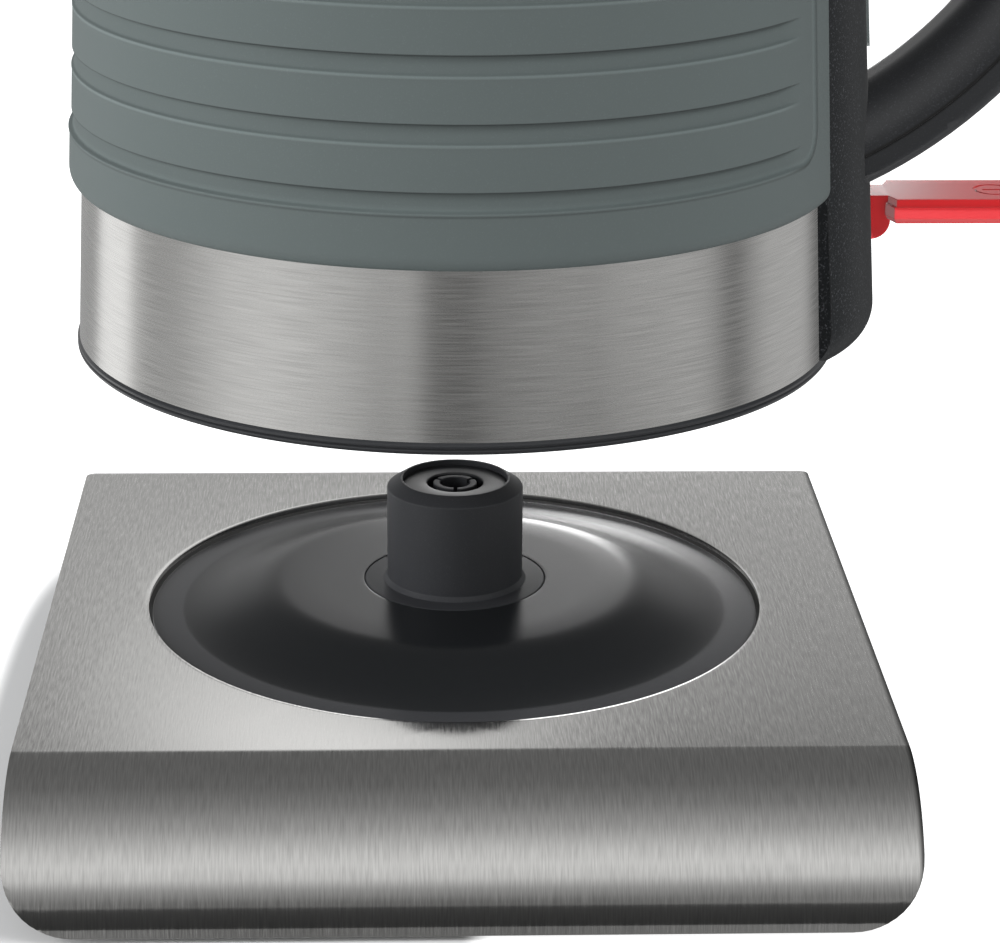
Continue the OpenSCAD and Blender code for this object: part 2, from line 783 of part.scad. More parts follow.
module gauge_window() {
    half = gauge_w / 2;
    inner = gauge_chamber / 2;
    color("#b8d8e0", 0.5) on_jug() lean() difference() {
        block([-gauge_depth, -half, gauge_low], [0.4, half, gauge_top]);
        block([-gauge_depth + 1.8, -inner, gauge_low + 3], [-1.8, inner, gauge_top - 3]);
        for (z = [gauge_low + 6, gauge_top - 6]) translate([-gauge_depth - 1, 0, z]) rotate([0, 90, 0])
            cylinder(r = 1, h = 4);
    }
}

module gauge_float() {
    color(red) on_jug() lean() translate([float_x, 0, gauge_low + float_lift])
        cylinder(r = float_r, h = float_len);
}

// A stretch of the handle's ring: children are drawn as (radius, Y)
module handle_arc(half_angle) {
    translate([handle_cx, 0, handle_cz]) rotate([90, 0, 0]) rotate(-half_angle)
        rotate_extrude(angle = 2 * half_angle) children();
}

module outside_column() {
    lean() block([-handle_lap, -far, -far], [far, far, far]);
}

module handle_grip() {
    half = handle_w / 2;
    color(black) on_jug() difference() {
        intersection() {
            handle_arc(75) difference() {
                soft_rect([handle_in, -half], [handle_mid + 2 * grip_round, half], grip_round);
                translate([handle_mid, -far]) square([far, 2 * far]);
            }
            outside_column();
        }
        handle_arc(44) translate([handle_in + grip_wall, -half + grip_wall])
            soft_rect([0, 0], [grip_t + 2 * grip_round, handle_w - 2 * grip_wall], grip_round - grip_wall);
        handle_screw_holes(screw_r + seat);
        column_bar(0, -10, collar_top + 10);
    }
}

module handle_strip() {
    half = handle_w / 2;
    color(black) on_jug() difference() {
        intersection() {
            handle_arc(75) difference() {
                soft_rect([handle_mid - 2 * strip_round, -half], [handle_r, half], strip_round);
                translate([0, -far]) square([handle_mid, 2 * far]);
            }
            outside_column();
        }
        column_bar(0, -10, collar_top + 10);
    }
}

// ---------- switch ----------

module switch_lever() {
    root = lever_root_w / 2;
    bar_x = shoulder_x + root_len;
    bar_top = pivot_h + lever_rise;
    color(red) on_jug() difference() {
        union() {
            for (x = [pivot_x, shoulder_x]) rod_y(lever_hub_r, x, pivot_h, -root, root);
            block([shoulder_x, -root, pivot_h], [bar_x + 1, root, bar_top]);
            flat_bar(bar_x, shoulder_x + lever_len, lever_w / 2, bar_top - lever_t, bar_top);
            block([pivot_x - tail_len, -3, pivot_h - 1.2], [pivot_x, 3, pivot_h + 1.2]);
        }
        rod_y(lever_pin_r + running, pivot_x, pivot_h, -far, far);
    }
}

// A flat bar along X with a rounded outer end
module flat_bar(x0, x1, half, z0, z1) {
    r = 6;
    translate([0, 0, z0]) linear_extrude(z1 - z0) {
        translate([x0, -half]) square([x1 - x0 - r, 2 * half]);
        translate([x0, -half + r]) square([x1 - x0, 2 * (half - r)]);
        for (s = [-1, 1]) translate([x1 - r, s * (half - r)]) circle(r);
    }
}

module lever_pin() {
    color(steel) on_jug() rod_y(lever_pin_r, pivot_x, pivot_h, -lever_root_w, lever_root_w);
}

module trip_spring() {
    x = control_r - 4;
    color(steel) on_jug()
        block([x, -control_slot, moulding_top + 2], [x + 3.6, 0.5 - control_slot, control_top - 1]);
}

module indicator_lamp() {
    color("#f0a070") on_jug() rod_y(lamp_r, lamp_x, lamp_z, -lamp_half, lamp_half);
}

module lamp_leads() {
    length = 2;
    color("#2a2a2e") on_jug() for (y = [-lamp_half - length, lamp_half])
        rod_y(0.6, lamp_x, lamp_z, y, y + length);
}

// ---------- top: collar, spout, filter and lid ----------

module hinge_ears(r) {
    for (y = [-ear_in - ear_t, ear_in]) rod_y(r, hinge_x, hinge_z, y, y + ear_t);
}

module top_collar() {
    lip = jug_h - collar_lip;
    color(black) on_jug() difference() {
        union() {
            rotate_extrude() polygon([
                [collar_bore, lip], [bore_r(lip) - seat, lip], [bore_r(jug_h) - seat, jug_h + seat],
                [vessel_r(jug_h) + seat, jug_h + seat], [vessel_r(jug_h - skirt_h) + seat, jug_h - skirt_h],
                [vessel_r(jug_h - skirt_h) + seat + 0.5, jug_h - skirt_h], [collar_r, jug_h - skirt_h + 2],
                [collar_r, collar_top], [collar_bore, collar_top]
            ]);
            hinge_ears(knuckle_r);
            for (y = [-ear_in - ear_t, ear_in]) translate([hinge_x, y, collar_top - 1])
                cube([knuckle_r + 1, ear_t, hinge_z - collar_top + 1]);
        }
        rod_y(hinge_pin_r + 0.02, hinge_x, hinge_z, -far, far);
        block([-far, -window_w / 2, jug_h - skirt_h - 1], [0, window_w / 2, collar_top + 1]);
    }
}

// Plan of the spout: two straight sides that meet round the nose
module spout_plan(inset) {
    r = nose_r - inset;
    run = 0.4 * nose_x;
    inside = r - 0.02;
    tangent = [-nose_x - inside * sin(spout_half), inside * cos(spout_half)];
    root = tangent + run * [cos(spout_half), sin(spout_half)];
    translate([-nose_x, 0]) circle(r);
    polygon([tangent, root, [root[0], -root[1]], [tangent[0], -tangent[1]]]);
}

// Side view of the spout: its underside rises to the lip
module spout_side(lift) {
    polygon([
        [-nose_front, collar_top - lip_front_h + lift],
        [-nose_x - lip_run, collar_top - lip_back_h + lift],
        [-vessel_r(spout_low) + 2 * spout_wall, spout_low + lift], [0, spout_low + lift],
        [0, collar_top + lift], [-nose_front, collar_top + lift]
    ]);
}

module spout_body(inset, lift) {
    intersection() {
        translate([0, 0, spout_low - 1]) linear_extrude(spout_h + 1 + lift) spout_plan(inset);
        along_y(far) spout_side(lift);
    }
}

module spout() {
    color(black) on_jug() difference() {
        spout_body(0, 0);
        spout_body(spout_wall, 2);
        vessel_space(seat);
    }
}

// A curved panel inside the pouring window, between radii r0 and r1 below the bore
module window_panel(r0, r1, low, high, half) {
    intersection() {
        rotate_extrude() polygon([
            [bore_r(low) - r1, low], [bore_r(low) - r0, low],
            [bore_r(high) - r0, high], [bore_r(high) - r1, high]
        ]);
        block([-far, -half, 0], [0, half, far]);
    }
}

module filter_frame() {
    edge = filter_edge;
    color(black) on_jug() difference() {
        window_panel(clear, clear + filter_t, filter_low, filter_high, filter_half);
        block([-far, -filter_half + edge, filter_low + edge], [0, filter_half - edge, filter_high - edge]);
    }
}

module filter_mesh() {
    edge = filter_edge + seat;
    back = clear + filter_t / 2;
    color(steel) on_jug() intersection() {
        window_panel(back, back + mesh_t, filter_low, filter_high, filter_half);
        block([-far, -filter_half + edge, filter_low + edge], [0, filter_half - edge, filter_high - edge]);
    }
}

// Cuts the lid off behind its hinge and clear of the hinge ears
module lid_limits() {
    difference() {
        children();
        block([lid_back, -far, 0], [far, far, far]);
        for (y = [-ear_in - ear_t, ear_in])
            block([hinge_x - knuckle_r - 0.5, y - clear, 0], [far, y + ear_t + clear, far]);
    }
}

module lid_cap() {
    steps = 10;
    rim = [for (i = [0:steps])
        let (r = disc_r + seat + (lid_flange_r - disc_r - seat) * i / steps) [r, dome(r)]];
    sunk = [for (i = [0:steps]) let (r = (disc_r + seat) * i / steps) [r, dome(r) - disc_t - seat]];
    under = [for (i = [steps:-1:0])
        let (r = (lid_r - lid_wall) * i / steps) [r, dome(r) - lid_wall - disc_t - seat]];
    color(black) on_jug() difference() {
        union() {
            lid_limits() rotate_extrude() polygon(concat(
                sunk, rim, [[lid_flange_r, lid_flange_low], [lid_r, lid_flange_low], [lid_r, lid_low],
                [lid_r - lid_wall, lid_low]], under
            ));
            rod_y(knuckle_r, hinge_x, hinge_z, -ear_in + clear, ear_in - clear);
        }
        rod_y(hinge_pin_r + running, hinge_x, hinge_z, -far, far);
    }
}

module lid_disc() {
    steps = 10;
    top = [for (i = [0:steps]) let (r = disc_r * i / steps) [r, dome(r)]];
    under = [for (i = [steps:-1:0]) let (r = disc_r * i / steps) [r, dome(r) - disc_t]];
    color(steel) on_jug() rotate_extrude() polygon(concat(top, under));
}

module lid_liner() {
    color(black) on_jug() lid_limits() translate([0, 0, lid_low])
        cylinder(r = lid_r - lid_wall - seat, h = 1.6);
}

module hinge_pin() {
    color(steel) on_jug() rod_y(hinge_pin_r, hinge_x, hinge_z, -ear_in - ear_t, ear_in + ear_t);
}

module latch_housing() {
    color(black) on_jug() difference() {
        intersection() {
            along_y(handle_w) difference() {
                soft_rect([latch_x[0], handle_cz], [latch_x[1], latch_top], 4);
                translate([handle_cx, handle_cz]) circle(handle_r + seat);
            }
            block([0, -far, latch_low], [far, far, far]);
        }
        intersection() {
            column_bar(-seat, -10, far);
            block([0, -far, 0], [far, far, collar_top + seat]);
        }
        vessel_space(seat);
        translate([button_x, 0, spring_low]) cylinder(r = button_r + clear, h = far);
    }
}

module lid_button() {
    color(black) on_jug() translate([button_x, 0, spring_top]) cylinder(r = button_r, h = button_len);
}

module button_spring() {
    coil_r = 3.6;
    wire = 0.4;
    turns = 4;
    color(steel) on_jug() translate([button_x, 0, spring_low])
        linear_extrude(spring_top - spring_low, twist = -360 * turns, slices = 24 * turns, $fn = 8)
            translate([coil_r, 0]) circle(wire, $fn = 8);
}

base_plate();
base_housing();
base_cover();
foot_ring();
base_screws();
cord_gland();
cord_clamp();
terminal_block();
base_wires();
base_dish();
connector_post();
contact_block();
base_pin_contact();
base_ring_contact();
shutter_ring();
bottom_moulding();
bottom_screws();
control_unit();
jug_pin_contact();
jug_ring_contact();
thermal_disc();
heating_element();
element_leads();
heat_spreader();
heating_plate();
plate_seal();
jug_shell();
grip_sleeve();
handle_column();
column_screws();
steam_pipe();
gauge_window();
gauge_float();
handle_grip();
handle_strip();
switch_lever();
lever_pin();
trip_spring();
indicator_lamp();
lamp_leads();
top_collar();
spout();
filter_frame();
filter_mesh();
lid_cap();
lid_disc();
lid_liner();
hinge_pin();
latch_housing();
lid_button();
button_spring();
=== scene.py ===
# %% [markdown]
# # A cordless kettle over its power base
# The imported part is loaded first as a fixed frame: every node lies where the construction put it.
# All sizes in this file are in millimetres and are turned into metres when a mesh is made.

# %% Load the frame
from contextlib import contextmanager
from math import acos, asin, atan2, cos, degrees, hypot, pi, radians, sin, sqrt, tan

import bmesh
import bpy
from mathutils import Matrix, Vector


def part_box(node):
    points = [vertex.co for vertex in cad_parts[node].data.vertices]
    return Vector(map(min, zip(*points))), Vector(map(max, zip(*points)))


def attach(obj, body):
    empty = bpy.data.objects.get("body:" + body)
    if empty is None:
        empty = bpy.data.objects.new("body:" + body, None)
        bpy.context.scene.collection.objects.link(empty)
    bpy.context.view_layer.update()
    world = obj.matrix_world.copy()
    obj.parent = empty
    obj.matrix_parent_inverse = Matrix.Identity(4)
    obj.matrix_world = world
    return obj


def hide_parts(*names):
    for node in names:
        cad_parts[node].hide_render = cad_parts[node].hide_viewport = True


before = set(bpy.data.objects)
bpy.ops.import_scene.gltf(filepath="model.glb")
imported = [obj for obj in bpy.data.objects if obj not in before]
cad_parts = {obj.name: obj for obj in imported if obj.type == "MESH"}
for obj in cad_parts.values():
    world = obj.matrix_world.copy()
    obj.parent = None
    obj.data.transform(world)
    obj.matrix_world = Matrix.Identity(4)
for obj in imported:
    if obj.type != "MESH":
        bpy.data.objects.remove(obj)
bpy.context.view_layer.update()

MM = 0.001
scene = bpy.context.scene
print("nodes in the frame:", len(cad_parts))


# %% Sizes read from the frame
def span(node):
    """Lowest and highest corner of a node, in millimetres."""
    low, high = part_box(node)
    return low / MM, high / MM


plate_low, plate_high = span("base_plate")
dish_high = span("base_dish")[1]
post_low, post_high = span("connector_post")
ring_low, ring_high = span("shutter_ring")
shell_low, shell_high = span("jug_shell")
rim_low, rim_high = span("bottom_moulding")
sleeve_low, sleeve_high = span("grip_sleeve")
column_half = span("handle_column")[1].y
lever_low, lever_high = span("switch_lever")

jug_z = rim_low.z                      # the jug's foot, from which its heights are measured
plate_top = plate_high.z
roll_r = plate_high.z - plate_low.z    # radius of the rolled front
bend_y = plate_low.y + roll_r          # where the flat top begins to roll
ring_r = 54.0                          # where the dish's flat ring begins
wall = 0.8                             # of the steel vessel
vessel_foot_r, vessel_top_r = -shell_low.x, 62.6
rim_h = shell_low.z - jug_z
vessel_h = shell_high.z - jug_z
print("jug stands", round(jug_z, 1), "mm up; plate is", round(plate_high.x - plate_low.x, 1), "mm wide")


def vessel_r(z):
    """Outer radius of the steel vessel at a height above the jug's foot."""
    return vessel_foot_r - (vessel_foot_r - vessel_top_r) * z / vessel_h


# %% [markdown]
# ## Camera
# The camera looks down at the kettle from the front. It comes first, because everything else is
# judged through it.

# %% Camera
camera_data = bpy.data.cameras.new("camera")
camera_data.lens = 111.45
camera_data.sensor_width = 36
camera = bpy.data.objects.new("camera", camera_data)
scene.collection.objects.link(camera)
scene.camera = camera

yaw, pitch, roll = (radians(angle) for angle in (2.03, 19.69, 0.46))
forward = Vector((sin(yaw) * cos(pitch), cos(yaw) * cos(pitch), -sin(pitch)))
level = Vector((cos(yaw), -sin(yaw), 0))
upward = level.cross(forward)
right = cos(roll) * level + sin(roll) * upward
up = -sin(roll) * level + cos(roll) * upward
turn = Matrix((right, up, -forward)).transposed()
camera.matrix_world = Matrix.Translation((-0.0115, -0.5745, 0.2576)) @ turn.to_4x4()
print("camera looks down by", round(degrees(pitch), 2), "degrees")

# %% [markdown]
# ## Node helpers
# Materials are trees of nodes. A few short helpers keep the trees readable: one adds a node with its
# values and links, and the others make the nodes that are used most. Wherever a value is asked for,
# a number, a colour or another node's output will do.

# %% Node helpers
def feed(tree, value, socket):
    """Links an output to a socket, or sets a plain value on it."""
    if isinstance(value, bpy.types.NodeSocket):
        tree.links.new(value, socket)
    else:
        socket.default_value = value


def add(tree, kind, inputs=None, **properties):
    """Adds a node, sets its properties and feeds its inputs, given by name or number."""
    made = tree.nodes.new(kind)
    for key, value in properties.items():
        setattr(made, key, value)
    for key, value in (inputs or {}).items():
        feed(tree, value, made.inputs[key])
    return made


def calc(tree, operation, *values):
    """Arithmetic on numbers."""
    return add(tree, "ShaderNodeMath", dict(enumerate(values)), operation=operation).outputs[0]


def vector(tree, operation, *values, output=0):
    """Arithmetic on vectors."""
    return add(tree, "ShaderNodeVectorMath", dict(enumerate(values)), operation=operation).outputs[output]


def split(tree, value):
    """The three parts of a vector."""
    return add(tree, "ShaderNodeSeparateXYZ", {0: value}).outputs


def combine(tree, *values):
    """A vector from its parts; those left out are 0."""
    return add(tree, "ShaderNodeCombineXYZ", dict(enumerate(values))).outputs[0]


def mix(tree, factor, first, second, blend="MIX", kind="RGBA"):
    """A blend of two colours, or of two numbers where kind is FLOAT."""
    return add(tree, "ShaderNodeMix", {"Factor": factor, "A": first, "B": second}, data_type=kind,
        blend_type=blend).outputs["Result"]


def scaled(tree, value, low, high, start=0.0, end=1.0, shape="LINEAR"):
    """Maps the range from low to high onto start to end, and stops there."""
    return add(tree, "ShaderNodeMapRange", {"Value": value, "From Min": low, "From Max": high, "To Min": start,
        "To Max": end}, interpolation_type=shape).outputs[0]


def ramp(tree, value, stops, shape="LINEAR"):
    """A colour ramp in grey: stops are (place, brightness)."""
    made = add(tree, "ShaderNodeValToRGB", {0: value})
    made.color_ramp.interpolation = shape
    elements = made.color_ramp.elements
    elements.remove(elements[-1])
    for number, (place, bright) in enumerate(stops):
        stop = elements[0] if number == 0 else elements.new(place)
        stop.position = place
        stop.color = (bright, bright, bright, 1)
    return made.outputs[0]


def place_in(tree):
    """Position in the piece, in metres."""
    return add(tree, "ShaderNodeTexCoord").outputs["Object"]


def new_material(name, values):
    """A material with a Principled shader and its plain values; returns the material, tree and shader."""
    material = bpy.data.materials.new(name)
    material.use_nodes = True
    tree = material.node_tree
    tree.nodes.clear()
    shader = add(tree, "ShaderNodeBsdfPrincipled", values)
    add(tree, "ShaderNodeOutputMaterial", {0: shader.outputs[0]})
    return material, tree, shader


# %% [markdown]
# ## Studio
# Polished and brushed steel show the room more than they show themselves, so the room is designed
# like a photographer's: pale walls, a dark ceiling gap, soft boxes and black cards that draw narrow
# dark lines. The world shader holds that room for reflections only. What the camera sees is white,
# and what lights the matt pieces is a plain soft grey.

# %% World
PANELS_ROUND = [  # (direction round the kettle from the camera, degrees; brightness), below the horizon
    (-180, 0.45), (-150, 0.40), (-139, 0.42), (-136, 1.22), (-116, 1.22), (-113, 0.55), (-105, 0.45),
    (-90, 0.54), (-71, 0.82), (-58, 0.87), (-26, 0.62), (-15, 0.63), (-12, 0.50), (-8, 0.17), (3, 0.16),
    (8, 0.26), (26, 0.42), (47, 0.53), (78, 0.50), (84, 0.38), (87, 0.20), (92, 0.20),
    (97, 0.38), (106, 0.58), (130, 0.58), (138, 0.2), (150, 0.12), (165, 0.3), (174, 0.4), (180, 0.45)]
PANELS_OVER = [  # (angle from the wall behind the kettle, up over it to the camera side; brightness)
    (0, 0.5), (20, 0.5), (23, 0.40), (25.5, 0.26), (27, 0.16), (56, 0.16), (76, 0.18), (96, 0.27),
    (117, 0.46), (137, 0.78), (147, 0.88), (158, 0.78), (167, 0.42), (172, 0.32), (180, 0.2)]
SOFT_BOXES = [  # (direction round, half width, elevation, half height, softness, brightness), in degrees
    (181.5, 3.4, 25, 2.2, 5.0, 1.05), (175, 3.5, 5, 11, 5, 5), (20, 30, -55, 14, 12, 2.0)]
HORIZON = -0.02, 0.14                  # sine of the elevations between which the walls give way to the ceiling
SOFT_LIGHT = (0.96, 0.98, 1.0, 1), 0.62
WHITE = (1, 1, 1, 1)


def near(tree, value, half, soft):
    """1 within half of zero and 0 beyond, with a soft edge; value is in degrees."""
    return scaled(tree, calc(tree, "ABSOLUTE", value), half + soft / 2, half - soft / 2, shape="SMOOTHSTEP")


def background(tree, colour, strength=1.0):
    return add(tree, "ShaderNodeBackground", {0: colour, 1: strength}).outputs[0]


def studio(sky):
    """What the kettle stands in: a designed room for reflections, soft grey light, and white to look at."""
    east, north, height = split(sky, add(sky, "ShaderNodeTexCoord").outputs["Generated"])
    from_camera = calc(sky, "ARCTAN2", east, calc(sky, "MULTIPLY", north, -1))
    around = calc(sky, "ADD", calc(sky, "DIVIDE", from_camera, 2 * pi), 0.5)
    over = calc(sky, "DIVIDE", calc(sky, "ARCTAN2", height, north), pi)
    walls = ramp(sky, around, [((angle + 180) / 360, bright) for angle, bright in PANELS_ROUND])
    ceiling = ramp(sky, over, [(angle / 180, bright) for angle, bright in PANELS_OVER])
    room = mix(sky, scaled(sky, height, *HORIZON, shape="SMOOTHSTEP"), walls, ceiling)
    elevation = calc(sky, "DEGREES", calc(sky, "ARCSINE", height))
    boxes = 0.0
    for middle, half_width, rise, half_height, soft, bright in SOFT_BOXES:
        away = calc(sky, "MULTIPLY", calc(sky, "SUBTRACT", around, 0.5 + middle / 360), 360)
        sideways = near(sky, calc(sky, "WRAP", away, 180, -180), half_width, soft)
        upwards = near(sky, calc(sky, "SUBTRACT", elevation, rise), half_height, soft)
        boxes = calc(sky, "ADD", calc(sky, "MULTIPLY", calc(sky, "MULTIPLY", sideways, upwards), bright), boxes)
    rays = add(sky, "ShaderNodeLightPath").outputs
    lit = add(sky, "ShaderNodeMixShader", {0: rays["Is Glossy Ray"], 1: background(sky, *SOFT_LIGHT),
        2: background(sky, mix(sky, 1.0, room, boxes, "ADD"))})
    seen = calc(sky, "MAXIMUM", rays["Is Camera Ray"], rays["Is Transmission Ray"])
    whole = add(sky, "ShaderNodeMixShader", {0: seen, 1: lit.outputs[0], 2: background(sky, WHITE)})
    add(sky, "ShaderNodeOutputWorld", {0: whole.outputs[0]})


scene.world = bpy.data.worlds.new("studio")
scene.world.use_nodes = True
scene.world.node_tree.nodes.clear()
studio(scene.world.node_tree)
print("panels round the kettle:", len(PANELS_ROUND), "and over it:", len(PANELS_OVER))


# %% Lamps
def soft_box(name, place, target, side, power):
    """A square area lamp that points at a target; places and its side in metres."""
    lamp = bpy.data.lights.new(name, "AREA")
    lamp.shape = "RECTANGLE"
    lamp.size = lamp.size_y = side
    lamp.energy = power
    made = bpy.data.objects.new(name, lamp)
    scene.collection.objects.link(made)
    aim = Vector(target) - Vector(place)
    made.matrix_world = Matrix.Translation(place) @ aim.to_track_quat("-Z", "Y").to_matrix().to_4x4()
    made.visible_glossy = False


soft_box("key", (0.8, -0.5, 1.1), (0, 0, 0.1), 0.7, 11)
soft_box("left_fill", (-0.9, -0.25, 0.4), (0, 0, 0.12), 0.6, 11)

# %% Floor and black card
# a painted shadow: the floor's glow is taken away in a patch beside the base
SHADOW_MIDDLE, SHADOW_HALF = (-0.045, -0.02), (0.0515, 0.13)     # in metres, across and ahead
SHADOW_EDGE = [(0.90, 0.0), (1.07, 1.0)]                         # where the glow starts and is full


def floor_material():
    """White that glows, except in a painted soft shadow on the side away from the key light."""
    material, tree, shader = new_material("floor_white", {"Base Color": (0.6, 0.6, 0.6, 1),
        "Roughness": 0.9, "Emission Color": WHITE})
    place = split(tree, place_in(tree))
    fourth = []
    for part, middle, half in zip(place, SHADOW_MIDDLE, SHADOW_HALF):
        share = calc(tree, "MULTIPLY", calc(tree, "ADD", part, -middle), 1 / half)
        fourth.append(calc(tree, "POWER", calc(tree, "ABSOLUTE", share), 4))
    reach = calc(tree, "SQRT", calc(tree, "SQRT", calc(tree, "ADD", *fourth)))
    glow = scaled(tree, ramp(tree, reach, SHADOW_EDGE, "EASE"), 0.0, 1.0, 0.0, 0.9)
    feed(tree, glow, shader.inputs["Emission Strength"])
    return material


def flat_sheet(name, low, high, z, material):
    """A level rectangle between two corners, in metres."""
    mesh = bpy.data.meshes.new(name)
    corners = [(low[0], low[1], z), (high[0], low[1], z), (high[0], high[1], z), (low[0], high[1], z)]
    mesh.from_pydata(corners, [], [(0, 1, 2, 3)])
    made = bpy.data.objects.new(name, mesh)
    scene.collection.objects.link(made)
    made.data.materials.append(material)
    return made


floor = flat_sheet("floor", (-6, -6), (6, 6), 0, floor_material())
floor.visible_glossy = False
card_black = new_material("card_black", {"Base Color": (0.02, 0.02, 0.02, 1), "Roughness": 0.9})[0]
card = flat_sheet("black_card", (-0.1, -0.27), (0.2, -0.102), 0.0008, card_black)
for kind in ("camera", "diffuse", "shadow", "transmission"):
    setattr(card, "visible_" + kind, False)
print("floor laid")

# %% [markdown]
# ## Mesh helpers
# Turned pieces come from a profile that is spun round an axis. Corners in a profile are rounded
# with short arcs, because a real moulding or a drawn sheet has no sharp edge, and light catches there.

# %% Mesh helpers
def as_object(name, points, faces):
    """A mesh object from points in millimetres."""
    mesh = bpy.data.meshes.new(name)
    mesh.from_pydata([tuple(c * MM for c in p) for p in points], [], faces)
    made = bpy.data.objects.new(name, mesh)
    scene.collection.objects.link(made)
    return made


@contextmanager
def opened(made):
    """Opens an object's mesh for editing and writes it back."""
    bm = bmesh.new()
    bm.from_mesh(made.data)
    yield bm
    bm.to_mesh(made.data)
    bm.free()


def clean(made, merge=0.002, smooth_angle=30):
    """Merges doubles, turns the faces outwards and shades smooth up to an angle."""
    limit = radians(smooth_angle)
    with opened(made) as bm:
        bmesh.ops.remove_doubles(bm, verts=bm.verts, dist=merge * MM)
        bmesh.ops.dissolve_degenerate(bm, edges=bm.edges, dist=0.0005 * MM)
        bmesh.ops.recalc_face_normals(bm, faces=bm.faces)
        for face in bm.faces:
            face.smooth = True
        for edge in bm.edges:
            edge.smooth = len(edge.link_faces) == 2 and edge.calc_face_angle(pi) < limit
    return made


def rounded(points, steps=4):
    """A profile with rounded corners: each point is (a, b) or (a, b, radius). The ends stay."""
    line = []
    for number, point in enumerate(points):
        here = Vector(point[:2])
        radius = point[2] if len(point) > 2 else 0
        if radius == 0 or number in (0, len(points) - 1):
            line.append(tuple(here))
            continue
        before = Vector(points[number - 1][:2]) - here
        after = Vector(points[number + 1][:2]) - here
        half = before.angle(after) / 2
        length = min(radius / tan(half), 0.49 * before.length, 0.49 * after.length)
        start, end = here + before.normalized() * length, here + after.normalized() * length
        for t in (i / steps for i in range(steps + 1)):
            line.append(tuple((1 - t) ** 2 * start + 2 * t * (1 - t) * here + t * t * end))
    return line


def skin(name, sections, ring=False, tube=True):
    """Joins sections of points: ring joins the last one to the first, and tube closes each section."""
    size, count = len(sections[0]), len(sections)
    faces = []
    for i in range(count if ring else count - 1):
        here, following = i * size, (i + 1) % count * size
        for k in range(size if tube else size - 1):
            n = (k + 1) % size
            faces.append((here + k, following + k, following + n, here + n))
    if not ring:
        faces += [tuple(range(size)), tuple(reversed(range((count - 1) * size, count * size)))]
    return as_object(name, [p for section in sections for p in section], faces)


def polar(r, a):
    return r * cos(a), r * sin(a)


def spin(name, profile, segments=192, closed=True):
    """Spins a profile of (radius, height) round the upright axis."""
    turns = [2 * pi * i / segments for i in range(segments)]
    sections = [[(*polar(r, a), z) for r, z in profile] for a in turns]
    return clean(skin(name, sections, True, closed))


def brick(name, low, high):
    """A box between two corners, used as a cutter."""
    corners = [(x, y, z) for x in (low[0], high[0]) for y in (low[1], high[1]) for z in (low[2], high[2])]
    sides = [(0, 1, 3, 2), (4, 6, 7, 5), (0, 4, 5, 1), (2, 3, 7, 6), (0, 2, 6, 4), (1, 5, 7, 3)]
    return clean(as_object(name, corners, sides))


def move(made, place, turn=Matrix()):
    """Turns a cutter's mesh and moves it, in millimetres."""
    made.data.transform(Matrix.Translation([c * MM for c in place]) @ turn)
    return made


def change(made, kind, **settings):
    """Adds a modifier."""
    modifier = made.modifiers.new(kind.lower(), kind)
    for key, value in settings.items():
        setattr(modifier, key, value)
    return modifier


def keep(made):
    """Turns a mesh with modifiers into a plain mesh."""
    bpy.context.view_layer.update()
    graph = bpy.context.evaluated_depsgraph_get()
    result = bpy.data.meshes.new_from_object(made.evaluated_get(graph))
    made.modifiers.clear()
    made.data = result
    return made


def cut(made, cutter, operation="DIFFERENCE"):
    """Cuts one mesh by another and keeps the plain result."""
    change(made, "BOOLEAN", operation=operation, solver="EXACT", object=cutter)
    keep(made)
    bpy.data.objects.remove(cutter)


def even_light(made):
    """Lets the large faces decide the shading, so that flat areas stay flat beside rounded edges."""
    change(made, "WEIGHTED_NORMAL", keep_sharp=True, weight=90)
    return keep(made)


def finish(made, body, nodes, material):
    """Gives a finished piece its material, its body and the nodes it stands for."""
    made.data.materials.clear()
    made.data.materials.append(material)
    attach(made, body)
    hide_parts(*nodes)
    made.visible_glossy = body in ("base", "connector_ring")
    print(made.name, len(made.data.polygons), "faces")

# %% [markdown]
# ## Shader groups
# Two effects are used by several materials, so each is a node group. Brushing is a set of long fine
# streaks: a noise that is stretched hard along the brushed direction. Moulded grain is the fine
# pitted texture that a spark-eroded mould leaves on plastic.

# %% Shader groups
STREAKS = [  # (number across a metre, stretch along the brushing, detail, share)
    (3400.0, 0.07, 1.0, 0.75), (1700.0, 0.06, 2.0, 0.25)]


def group(name, inputs, outputs):
    """An empty node group; inputs are (name, kind, value)."""
    made = bpy.data.node_groups.new(name, "ShaderNodeTree")
    for title, kind, value in inputs:
        socket = made.interface.new_socket(name=title, in_out="INPUT", socket_type="NodeSocket" + kind)
        if value is not None:
            socket.default_value = value
    for title in outputs:
        made.interface.new_socket(name=title, in_out="OUTPUT", socket_type="NodeSocketFloat")
    return made, add(made, "NodeGroupInput").outputs


def noise(tree, place, scale, detail, roughness=0.5):
    return add(tree, "ShaderNodeTexNoise", {"Vector": place, "Scale": scale, "Detail": detail,
        "Roughness": roughness}, noise_dimensions="3D").outputs["Fac"]


def brushing_group():
    """Streaks along the first axis of the vector, at two widths."""
    made, entry = group("brushing", [("Vector", "Vector", None)], ["Streaks"])
    layers = []
    for scale, stretch, detail, share in STREAKS:
        place = vector(made, "MULTIPLY", entry["Vector"], (stretch, 1, 1))
        layers.append(calc(made, "MULTIPLY", noise(made, place, scale, detail), share))
    streaks = ramp(made, calc(made, "ADD", *layers), [(0.3, 0), (0.7, 1)])
    add(made, "NodeGroupOutput", {"Streaks": streaks})
    return made


def grain_group():
    """Pitted mould grain: a height for bump and a mask of the pits' bright specks."""
    made, entry = group("mould_grain", [("Vector", "Vector", None), ("Scale", "Float", 2600.0)],
        ["Height", "Specks"])
    pits = noise(made, entry["Vector"], entry["Scale"], 2.5, 0.6)
    add(made, "NodeGroupOutput", {"Height": pits, "Specks": ramp(made, pits, [(0.56, 0), (0.72, 1)])})
    return made


